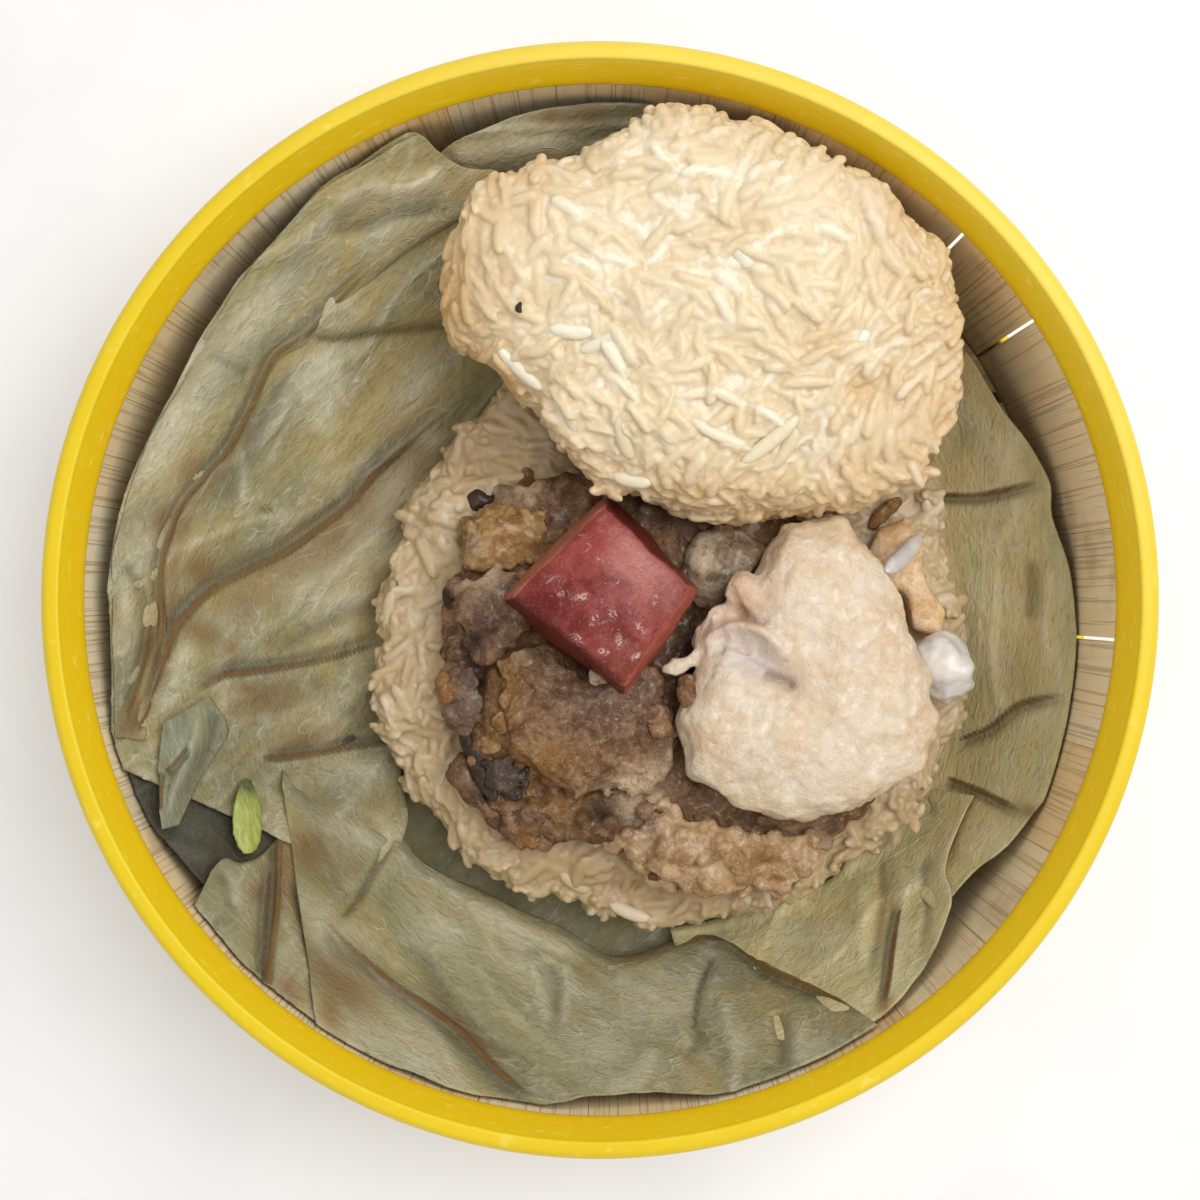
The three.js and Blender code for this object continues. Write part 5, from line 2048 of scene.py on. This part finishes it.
@dataclass(frozen=True)
class Relief:
    """The relief of a piece of food, with its depths and sizes in millimetres."""

    crag: float = 0.8
    crag_size: float = 5.0
    pebble: float = 0.3
    pebble_size: float = 2.2
    tear: float = 0.5
    tear_size: float = 3.4
    ragged: float = 1.0
    ragged_size: float = 4.0

    def apply(self, skin: Skin, noise: Noise) -> None:
        """Shapes a piece, and marks its crevices for painted shade.

        Args:
            skin: its surface.
            noise: its own noise.
        """
        facing = skin.normals()
        sideways = rise(np.abs(facing[:, 2]), 0.8, 0.3)
        crag = noise.layered(skin.points, self.crag_size, 3)
        pebble = noise.pebbles(skin.points, self.pebble_size)
        tears = noise.folds(skin.points + 11, self.tear_size)
        rags = noise.layered(skin.points + 70, self.ragged_size, 3)
        relief = 0.5 * self.crag * crag + self.pebble * (pebble - 0.5) + self.tear * (tears - 0.4)
        skin.pushed(relief + self.ragged * rags * sideways)
        # Painted shade at the borders of the pebbles and in the low parts of the crags.
        crevice = rise(pebble, 0.25, 0.0) * min(1.0, self.pebble) + rise(crag, -0.3, -0.9) * 0.8
        skin.marks["crevice"] = np.clip(crevice, 0, 1)


@dataclass(frozen=True)
class Morsel:
    """A piece of filling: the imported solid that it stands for, its finish and its relief."""

    node: str
    slot: str
    finish: Glaze
    relief: Relief = Relief()
    tints: tuple[tuple[Spot, Tint], ...] = ()
    dents: tuple[tuple[Spot, float], ...] = ()
    crumb: Grain = Grain(1.9, 1.5, 1.2, 7, 5, 0.1)
    crumbs: Scatter = Scatter(1.5, -0.45, 0.1, 0.5, 0.5)
    voxel: float = 0.4
    keep: float = 1.0
    soft: int = 5
    swell: float = 0.1

    def build(self, seed: int) -> None:
        """Makes the piece: its own form, fused with the crumbs that cover it.

        Args:
            seed: its own relief.
        """
        skin = Skin.of_node(self.node).evened(0.6).smoothed(self.soft).pushed(self.swell)
        pixels = VIEW.pixels(skin.points)
        up = rise(skin.normals()[:, 2], 0.0, 0.5)
        for spot, depth in self.dents:
            skin.points[:, 2] -= depth * spot.share(pixels) * up
        self.relief.apply(skin, Noise(seed))
        bedding = self.crumbs.over(skin, lambda at: at[:, 2] < 12, np.zeros_like, seed)
        skin = Skin.joined([skin.triangles(), bedding.skins(self.crumb)]).evened(self.voxel, self.keep)
        skin.smoothed(1, 0.3)
        skin.pushed(0.13 * Noise(seed + 9).layered(skin.points, 1.5, 2))
        pixels = VIEW.pixels(skin.points)
        skin.marks["tone"] = bedding.tone_at(skin.points, 1.0)
        # Painted shade in the hollows of the piece.
        skin.marks["crevice"] = rise(skin.hollows(8), 0.12, 0.5)
        for tint in Tint:
            spots = [spot.share(pixels) for spot, its in self.tints if its is tint]
            skin.marks[tint.value] = np.max(spots, axis=0) if spots else np.zeros(len(pixels))
        skin.piece(f"{self.node}_piece", self.finish.make(), self.slot, [self.node])
        GROUND.lay(skin)


@dataclass(frozen=True)
class Crumb:
    """A loose bit on the filling: its pixel, its length, width and depth, its turn and its tint."""

    pixel: tuple[float, float]
    size: tuple[float, float, float]
    turn: float
    tint: Tint | None = None

    def skin(self, seed: int) -> Skin:
        """The crumb, half sunk where it shows."""
        place, out = GROUND.under(self.pixel)
        rough = Grain(*self.size, 20, 16, 0.3).skin()
        rough.pushed(0.5 * Noise(seed).layered(rough.points, 2.2, 3))
        angle = math.radians(self.turn)
        way = np.array((math.cos(angle), -math.sin(angle), 0))
        way -= (way @ out) * out
        way /= np.linalg.norm(way)
        axes = np.array([way, np.cross(out, way), out])
        rough.points = rough.points @ axes + place - out * 0.1 * self.size[2]
        for tint in Tint:
            rough.marks[tint.value] = np.full(len(rough.points), float(tint is self.tint))
        rough.marks["crevice"] = np.zeros(len(rough.points))
        rough.marks["tone"] = np.full(len(rough.points), 0.5)
        return rough


@dataclass
class Filling:
    """The chopped meat, mushroom and fat that the rice held."""

    def build(self) -> None:
        """Makes every piece, and then the crumbs on them."""
        for seed, morsel in enumerate(self.morsels(), start=40):
            morsel.build(seed)

    def crumbs(self) -> None:
        """Scatters the crumbs, once all that they lie on is in place."""
        bits = (
            Crumb((488, 500), (7, 3.4, 1.4), 10, Tint.DARK),
            Crumb((450, 600), (5, 2.4, 1.2), 100, Tint.DARK),
            Crumb((444, 690), (6, 4, 2.4), 60, Tint.AMBER), Crumb((528, 484), (6, 3.4, 2.2), 70, None),
            Crumb((491, 743), (4.4, 3, 1.8), 20, Tint.AMBER),
            Crumb((502, 722), (3.6, 2.6, 1.4), 90, Tint.AMBER),
            Crumb((478, 764), (14, 3.2, 1.4), 62, Tint.DARK),
            Crumb((886, 516), (8, 4.4, 2.4), 100, Tint.AMBER), Crumb((688, 692), (6, 5, 3), 60, None),
            Crumb((660, 720), (7, 4, 2), 70, None), Crumb((603, 680), (6, 3.4, 2.2), 70, Tint.PALE),
            Crumb((522, 306), (2.4, 0.9, 0.8), 100, Tint.DARK),
        )
        joined = Skin.joined([bit.skin(seed).triangles() for seed, bit in enumerate(bits, start=200)])
        crumb = Glaze(
            "crumbs", srgb(112, 78, 54), srgb(140, 104, 70), srgb(190, 160, 126), srgb(46, 36, 30)
        )
        joined.piece("filling_crumbs", crumb.make(), "filling")

    def morsels(self) -> tuple[Morsel, ...]:
        """The pieces, from the lowest up."""
        mince = Glaze("mince", srgb(108, 78, 52), srgb(86, 60, 38), srgb(158, 122, 84), srgb(40, 26, 16))
        brown = Glaze(
            "braised_meat", srgb(106, 76, 54), srgb(86, 60, 42), srgb(160, 124, 92), srgb(38, 24, 16),
        )
        grey = Glaze(
            "braised_meat_grey", srgb(114, 82, 54), srgb(98, 68, 44), srgb(172, 138, 104),
            srgb(46, 28, 17), patch=7, specks=0.4,
        )
        tan = Glaze(
            "soft_fat", srgb(160, 126, 78), srgb(136, 100, 58), srgb(196, 166, 118),
            srgb(72, 46, 24), bump=0.3,
        )
        pink = Glaze(
            "pale_mince", srgb(186, 154, 118), srgb(172, 136, 92), srgb(214, 188, 156), srgb(96, 68, 44),
        )
        slab = Glaze(
            "mushroom", srgb(98, 76, 62), srgb(82, 62, 48), srgb(134, 112, 96),
            srgb(44, 28, 19), specks=0.25, bump=0.25,
        )
        black = Glaze(
            "mushroom_skin", srgb(62, 50, 40), srgb(40, 34, 30), srgb(96, 80, 66),
            srgb(16, 12, 10), specks=0.2,
        )
        clear_fat = Glaze(
            "clear_fat", srgb(124, 104, 78), srgb(102, 80, 56), srgb(186, 170, 146),
            srgb(70, 50, 34), bump=0.2, rough=0.2,
        )
        strip = Glaze(
            "tan_strip", srgb(222, 188, 144), srgb(206, 166, 116), srgb(230, 206, 172),
            srgb(128, 88, 50), bump=0.15,
        )
        heap_tints = (
            (Spot((530, 590), 30, 1.6), Tint.AMBER), (Spot((520, 720), 34, 2.0, 0), Tint.AMBER),
            (Spot((560, 800), 40, 0.6), Tint.AMBER), (Spot((560, 520), 24, 0.8, 40), Tint.GREY),
            (Spot((660, 512), 50, 0.4, 10), Tint.GREY), (Spot((690, 660), 24, 2.0), Tint.DARK),
            (Spot((478, 670), 14, 1.8, 0), Tint.DARK), (Spot((600, 812), 14, 1.0), Tint.DARK),
            (Spot((480, 495), 24, 0.8), Tint.PALE), (Spot((528, 488), 12, 2.0, 0), Tint.PALE),
            (Spot((640, 800), 26, 0.7), Tint.PALE), (Spot((800, 850), 40, 0.5), Tint.PALE),
            (Spot((740, 545), 24, 1.5), Tint.AMBER),
        )
        centre_tints = (
            (Spot((596, 700), 54, 0.55, 20), Tint.GREY), (Spot((648, 700), 26, 1.2), Tint.GREY),
            (Spot((500, 690), 26, 2.4, 0), Tint.AMBER), (Spot((540, 760), 50, 0.5), Tint.AMBER),
            (Spot((630, 785), 40, 0.4, -30), Tint.PALE), (Spot((520, 640), 18, 0.8), Tint.PALE),
        )
        smooth, sparse = Scatter(3.4, -0.6, -0.2, 0.4, 0.5), Scatter(2.4, -0.55, 0.0, 0.5, 0.5)
        coarse = Grain(3.6, 3.0, 2.4, 8, 6, 0.1)
        return (
            Morsel("filling_heap", "filling", mince, Relief(2.4, 8, 0.3, 2.6, 1.3, 5.5, 1.6), heap_tints,
                   dents=((Spot((692, 670), 16, 2.2, 0), 2.0), (Spot((478, 680), 10, 2.0), 1.6)),
                   voxel=0.5, keep=0.5, crumbs=Scatter(3.4, -0.8, 0.2, 0.5, 0.5), crumb=coarse),
            Morsel("mince_right", "filling", pink, Relief(2.0, 7, 0.5, 3.2, 0.8, 5, 2.4), (
                (Spot((760, 860), 40, 0.6), Tint.AMBER), (Spot((640, 820), 26, 0.8), Tint.GREY)),
                crumb=coarse, crumbs=Scatter(3.2, -0.9, 0.0, 0.5, 0.5)),
            Morsel("mushroom_strip", "mushroom", brown, Relief(0.4, 4, 0.0, 2, 0.4, 4, 0.4), crumbs=smooth),
            Morsel("meat_front", "filling", brown, Relief(1.5, 5, 0.1, 2, 0.8, 4, 1.8), (
                (Spot((530, 840), 14), Tint.AMBER),), crumbs=sparse),
            Morsel("mushroom_edge", "mushroom", black, Relief(0.8, 3, 0.0, 2, 0.6, 3, 1.2), (
                (Spot((500, 765), 12), Tint.GREY),), crumbs=sparse, soft=2, swell=-0.2),
            Morsel("meat_centre", "filling", grey, Relief(2.2, 8, 0.1, 2.8, 1.5, 7, 3.2, 6), centre_tints,
                   crumbs=sparse),
            Morsel("mushroom_slice", "mushroom", slab, Relief(0.4, 5, 0.0, 2, 0.3, 4, 0.6), (
                (Spot((446, 690), 12), Tint.AMBER),), crumbs=sparse),
            Morsel("meat_left", "filling", brown, Relief(1.6, 6, 0.1, 2.4, 1.0, 5, 2.2), (
                (Spot((484, 612), 22), Tint.GREY), (Spot((478, 566), 24), Tint.PALE),
                (Spot((475, 640), 12), Tint.DARK)), crumbs=sparse),
            Morsel("fat_piece", "fat", tan, Relief(1.2, 5, 0.1, 2.6, 1.0, 4.5, 2.6, 4), (
                (Spot((512, 545), 24, 0.8), Tint.AMBER), (Spot((470, 545), 12), Tint.GREY)), crumbs=sparse),
            Morsel("fat_round", "fat", clear_fat, Relief(0.8, 6, 0.0, 3, 0.3, 5, 0.5), (
                (Spot((705, 560), 14, 1.4), Tint.PALE), (Spot((728, 600), 20), Tint.DARK)), crumbs=smooth),
            Morsel("tan_strip", "filling", strip, Relief(0.2, 6, 0.0, 3, 0.1, 4, 0.1), (
                (Spot((888, 515), 16), Tint.AMBER),), crumbs=Scatter(12, -1.5, -1), swell=-1.1),
        )


@dataclass
class Sausage:
    """The cube of cured sausage: red lean, with squiggles of white fat.

    Its corners are pixels, in the order of the photo's top, right, bottom and left.
    """

    foot: Trace = ((607, 493), (704, 591), (623, 702), (498, 600))
    crown: Trace = ((603, 505), (690, 587), (623, 688), (510, 597))
    low: float = 34.4
    high: float = 49.0
    fat: tuple[tuple, ...] = (
        ((560, 592), 7, 0.7, 60), ((582, 597), 10, 0.5, 160), ((576, 639), 10, 0.6, 30),
        ((594, 620), 9, 0.5, 120), ((613, 614), 8, 0.6, 40), ((619, 641), 10, 0.5, 90),
        ((640, 628), 9, 0.4, 60), ((655, 600), 8, 0.4, 100), ((600, 560), 6, 0.5, 20),
        ((604, 652), 8, 0.6, 10), ((636, 656), 8, 0.5, 140),
    )

    def build(self) -> None:
        """Makes the cube."""
        rings = [
            VIEW.points(np.array(corners, float), np.full(4, height))
            for corners, height in ((self.foot, self.low), (self.crown, self.high))
        ]
        sides = [(0, 1, 2, 3), (7, 6, 5, 4)] + [
            (at, at + 4, (at + 1) % 4 + 4, (at + 1) % 4) for at in range(4)
        ]
        skin = Skin(np.concatenate(rings), np.array(sides)).evened(0.42).smoothed(28)
        facing = skin.normals()
        noise = Noise(71)
        top = rise(facing[:, 2], 0.45, 0.9)
        relief = 0.45 * noise.layered(skin.points, 7, 3) + 0.14 * noise.folds(skin.points, 2.2)
        dome = np.hypot(skin.points[:, 0] - 1.0, skin.points[:, 1] - 0.5) / 12
        skin.pushed(relief)
        skin.points[:, 2] += 1.1 * (1 - dome**2) * top
        pixels = VIEW.pixels(skin.points)
        side = 1 - top
        skin.marks = {
            "top": top,
            "upper_right": side * rise(facing[:, 0] + facing[:, 1], 0.2, 0.7) * (facing[:, 1] > 0),
            # Painted light by facing: the lower right and upper left sides are lit, the left side is
            # shaded.
            "lower_right": side * rise(facing[:, 0] - facing[:, 1], 0.2, 0.7),
            "left": rise(facing[:, 0] + facing[:, 1], -0.1, -0.6),
            "upper_left": side * rise(facing[:, 1] - facing[:, 0], 0.3, 0.8),
            "tip": Spot((618, 668), 36, 0.8).share(pixels),
            # A painted highlight on the top.
            "glow": Spot((640, 566), 48, 0.45, 45).share(pixels),
            "deep": Spot((548, 604), 34, 0.8, 40).share(pixels),
            "lean": Spot((598, 540), 22, 0.8, 40).share(pixels),
            "fat": np.max([Spot(*spot).share(pixels) for spot in self.fat], axis=0),
        }
        skin.piece("sausage_dice", self._finish(), "sausage", ["sausage_cube"])
        GROUND.lay(skin)

    @staticmethod
    def _finish() -> bpy.types.Material:
        """The material."""
        recipe = Recipe("cured_sausage")
        top = recipe.mark("top")
        cloud = recipe.noise(5, 4, warp=1.0)
        squiggle = recipe.threads(4.5, 0.02, 2, 2.5) * recipe.noise(4, 2).step(0.48, 0.6) * 0.5
        fat = recipe.mark("fat").step(0.3, 0.8) * recipe.noise(1.0, 3, warp=2.0).step(0.46, 0.56)
        crease = recipe.threads(1.6, 0.02, 2, 1.5)
        fine = recipe.noise(0.7, 3)
        grain = recipe.noise(0.35, 3, rough=0.7)
        colour = recipe.layers(
            srgb(114, 26, 20),
            (srgb(152, 66, 58), cloud.step(0.35, 0.65)),
            # A painted pink highlight on the top.
            (srgb(194, 126, 116), recipe.mark("glow") * (0.5 + cloud * 0.7)),
            (srgb(98, 14, 8), recipe.mark("deep") * 0.85),
            (srgb(148, 42, 36), recipe.mark("lean") * 0.6),
            (srgb(116, 52, 24), recipe.mark("tip") * 0.7),
            (srgb(208, 176, 180), squiggle * top * 0.85),
            (srgb(222, 190, 186), fat * 0.6),
            (srgb(84, 20, 12), recipe.mark("upper_right") * 0.9),
            # Painted light: lit lower right and upper left sides, and a shaded left side.
            (srgb(178, 92, 72), recipe.mark("lower_right") * 0.65),
            (srgb(84, 18, 10), recipe.mark("left") * 0.85),
            (srgb(190, 116, 94), recipe.mark("upper_left") * 0.7),
            (srgb(214, 160, 146), crease * fine.step(0.4, 0.6) * top * 0.3),
            # Pale specks on the crests of the fine relief, mostly on the top: painted highlights.
            (srgb(216, 180, 170), grain.step(0.6, 0.75) * (0.08 + top * 0.2)),
        )
        return recipe.finish(
            Base_Color=colour, Roughness=0.3 + grain * 0.25,
            Normal=recipe.bumped(fine * 0.6 + grain * 0.3 + squiggle * 0.5 + crease * 0.3, 0.22),
            Subsurface_Weight=0.1, Subsurface_Radius=(1.0, 0.25, 0.15), Subsurface_Scale=0.0016,
            Specular_IOR_Level=0.25, Coat_Weight=0.1, Coat_Roughness=0.2,
        )


@dataclass(frozen=True)
class Lobe:
    """A rounded swelling of the chicken: its pixel and height, its length, width, depth and turn."""

    pixel: tuple[float, float]
    height: float
    size: tuple[float, float, float]
    turn: float

    def skin(self) -> Skin:
        """The swelling, to be fused with the meat."""
        lobe = Grain(*self.size, 16, 12, 0.2).skin()
        angle = math.radians(-self.turn)
        way = np.array(
            ((math.cos(angle), math.sin(angle), 0), (-math.sin(angle), math.cos(angle), 0), (0, 0, 1))
        )
        place = VIEW.points(np.array([self.pixel], float), np.array([self.height]))
        lobe.points = lobe.points @ way + place
        return lobe


@dataclass
class Chicken:
    """The plump wing joint and its pale knuckle."""

    def build(self) -> None:
        """Makes both."""
        noise = Noise(83)
        lobes = (
            Lobe((748, 592), 41.5, (9, 7, 7), 50), Lobe((733, 622), 40, (11, 6, 5), 20),
            Lobe((716, 640), 38.5, (9, 7, 6), 40), Lobe((778, 640), 44, (12, 5, 5), 35),
        )
        parts = [Skin.of_node("chicken_wing").triangles(), *(lobe.skin().triangles() for lobe in lobes)]
        skin = Skin.joined(parts).evened(0.48).smoothed(8)
        pixels = VIEW.pixels(skin.points)
        strand = (pixels[:, 0] < 700) & (pixels[:, 1] > 630) & (pixels[:, 1] < 700)
        slim = np.where(strand, 0.12 + 0.88 * rise(pixels[:, 0], 664, 702), 1.0)
        slope, start = np.polyfit(*skin.points[strand, :2].T, 1)
        middle = slope * skin.points[:, 0] + start
        skin.points[:, 1] = middle + (skin.points[:, 1] - middle) * slim
        pixels = VIEW.pixels(skin.points)
        facing = skin.normals()
        up = rise(facing[:, 2], -0.2, 0.4)
        sideways = rise(np.abs(facing[:, 2]), 0.8, 0.3)
        hollow = Spot((750, 658), 44, 0.42, 32).share(pixels)
        flap = Spot((705, 655), 26, 0.8, 20).share(pixels)
        marks = {name: np.zeros(len(pixels)) for name in ("vein", "stain", "groove", "pale")}
        crack = Line(VALLEY, ((762, 676), (780, 682), (798, 688)), 5, 2.4, fade=0.2)
        seam = Line(VALLEY, ((730, 608), (748, 618), (770, 622)), 5, 1.2, fade=0.2)
        lip = Line(RIDGE, ((702, 650), (716, 632), (742, 626), (768, 636), (792, 664)), 6, 1.6, fade=0.2)
        fat = Line(RIDGE, ((718, 650), (746, 654), (776, 670)), 5, 1.0, fade=0.2)
        cut = sum(line.apply(pixels, marks) for line in (crack, seam, lip, fat))
        torn = Spot((735, 632), 44, 0.6, 25).share(pixels)
        relief = 1.0 * noise.layered(skin.points, 15, 2) + 0.16 * noise.pebbles(skin.points, 1.8)
        relief += 0.25 * noise.layered(skin.points + 20, 2.2, 3)
        relief += 0.8 * noise.layered(skin.points, 4, 2) * sideways
        relief += 0.45 * noise.layered(skin.points + 9, 4.5, 3) * rise(pixels[:, 1], 560, 660)
        relief += 0.9 * noise.layered(skin.points + 31, 2.6, 3) * torn
        relief += (flap * 0.8 - 3.4 * hollow + cut) * up
        skin.pushed(relief).smoothed(1, 0.3)
        skin.marks["hollow"] = hollow * up
        skin.marks["shoulder"] = Spot((745, 600), 30, 0.8, 120).share(pixels)
        # The dark mark is painted shade in the crack and the seam.
        skin.marks["dark"] = marks["groove"]
        skin.marks["low"] = rise(skin.points[:, 2], 38, 33)
        skin.piece("wing_meat", self._finish(), "chicken", ["chicken_wing"])
        GROUND.lay(skin)
        self._knuckle(noise)

    def _knuckle(self, noise: Noise) -> None:
        """The knuckle, smooth and bluish white."""
        recipe = Recipe("knuckle")
        cloud = recipe.noise(3, 4)
        colour = recipe.layers(srgb(222, 215, 206), (srgb(200, 198, 200), cloud.step(0.4, 0.65)))
        finish = recipe.finish(
            Base_Color=colour, Roughness=0.3 + cloud * 0.15, Normal=recipe.bumped(cloud, 0.2),
            Subsurface_Weight=0.25, Subsurface_Radius=(1.0, 0.7, 0.6), Subsurface_Scale=0.002,
            Coat_Weight=0.3,
        )
        skin = Skin.of_node("wing_knuckle").evened(0.4).smoothed(14)
        skin.pushed(0.7 * noise.layered(skin.points, 4, 3) + 0.5)
        loose = Hero((884, 572), (918, 538)).skin(Grain(7.2, 3.1, 2.6, 16, 12, 0.2), -0.5)
        skin = Skin.joined([Skin(skin.points, skin.faces).triangles(), Skin(loose.points, loose.faces)])
        skin.piece("knuckle_end", finish, "knuckle", ["wing_knuckle"])
        GROUND.lay(skin)

    @staticmethod
    def _finish() -> bpy.types.Material:
        """The material."""
        recipe = Recipe("chicken_meat")
        cloud = recipe.noise(9, 3, warp=0.8)
        mottle = recipe.noise(1.6, 4, warp=0.6)
        fine = recipe.noise(0.5, 3)
        colour = recipe.layers(
            srgb(216, 200, 176),
            (srgb(210, 184, 150), cloud.step(0.4, 0.7)),
            (srgb(200, 160, 116), mottle.step(0.52, 0.72) * 0.45),
            (srgb(236, 224, 206), mottle.step(0.48, 0.3) * 0.55),
            (srgb(206, 160, 128), recipe.mark("shoulder") * 0.7),
            (srgb(196, 182, 178), recipe.mark("hollow") * 0.85),
            # Painted shade in the crack and the seam.
            (srgb(110, 74, 54), recipe.mark("dark") * 0.8),
            (srgb(204, 170, 126), recipe.mark("low") * 0.5),
        )
        return recipe.finish(
            Base_Color=colour, Roughness=0.38 + mottle * 0.16,
            Normal=recipe.bumped(mottle * 0.8 + fine * 0.5, 0.36), Subsurface_Weight=0.22,
            Subsurface_Radius=(1.0, 0.5, 0.3), Subsurface_Scale=0.002, Coat_Weight=0.2,
            Coat_Roughness=0.3,
        )


# Stage


@dataclass(frozen=True)
class Studio:
    """A plain pale table, soft light from the upper right, and a fill all round."""

    table: tuple = srgb(240, 240, 240)
    half: float = 2.0
    key_place: tuple[float, float, float] = (0.32, 0.18, 0.84)
    key_size: float = 0.6
    key_power: float = 4.9
    fill: float = 0.7

    def build(self) -> None:
        """Makes the table and the lights, and sets the camera."""
        VIEW.set_camera()
        scene = bpy.context.scene
        scene.view_settings.view_transform = "Standard"
        mesh = bpy.data.meshes.new("table")
        corners = [(x * self.half, y * self.half, 0) for x, y in ((-1, -1), (1, -1), (1, 1), (-1, 1))]
        mesh.from_pydata(corners, [], [(0, 1, 2, 3)])
        recipe = Recipe("table")
        cloud = recipe.noise(60, 3)
        colour = recipe.layers(self.table, (srgb(234, 234, 236), cloud.step(0.4, 0.7)))
        mesh.materials.append(recipe.finish(Base_Color=colour, Roughness=0.7))
        table = bpy.data.objects.new("table", mesh)
        scene.collection.objects.link(table)
        world = bpy.data.worlds.new("studio")
        world.use_nodes = True
        background = world.node_tree.nodes["Background"]
        background.inputs["Color"].default_value = (1, 1, 1, 1)
        background.inputs["Strength"].default_value = self.fill
        scene.world = world
        self._light("key", self.key_place, self.key_size, self.key_power)

    @staticmethod
    def _light(name: str, place: tuple[float, float, float], size: float, power: float) -> None:
        """A square area light that faces the basket and doesn't show itself.

        Args:
            name: its name.
            place: where it hangs.
            size: the length of its side.
            power: its strength in watts.
        """
        data = bpy.data.lights.new(name, "AREA")
        data.size = size
        data.energy = power
        light = bpy.data.objects.new(name, data)
        light.location = place
        light.rotation_euler = (-Vector(place)).to_track_quat("-Z", "Y").to_euler()
        light.visible_camera = False
        bpy.context.scene.collection.objects.link(light)


def save_sizes() -> None:
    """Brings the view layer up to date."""
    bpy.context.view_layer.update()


def main() -> None:
    """Builds the dish from the basket up."""
    logging.basicConfig(level=logging.INFO, format="%(name)s: %(message)s")
    Studio().build()
    filling = Filling()
    for assembly in (Basket(), Leaf(), Rice(), filling, Sausage(), Chicken()):
        assembly.build()
        LOG.info("%s finished", type(assembly).__name__)
    filling.crumbs()
    save_sizes()


if __name__ == "__main__":
    main()
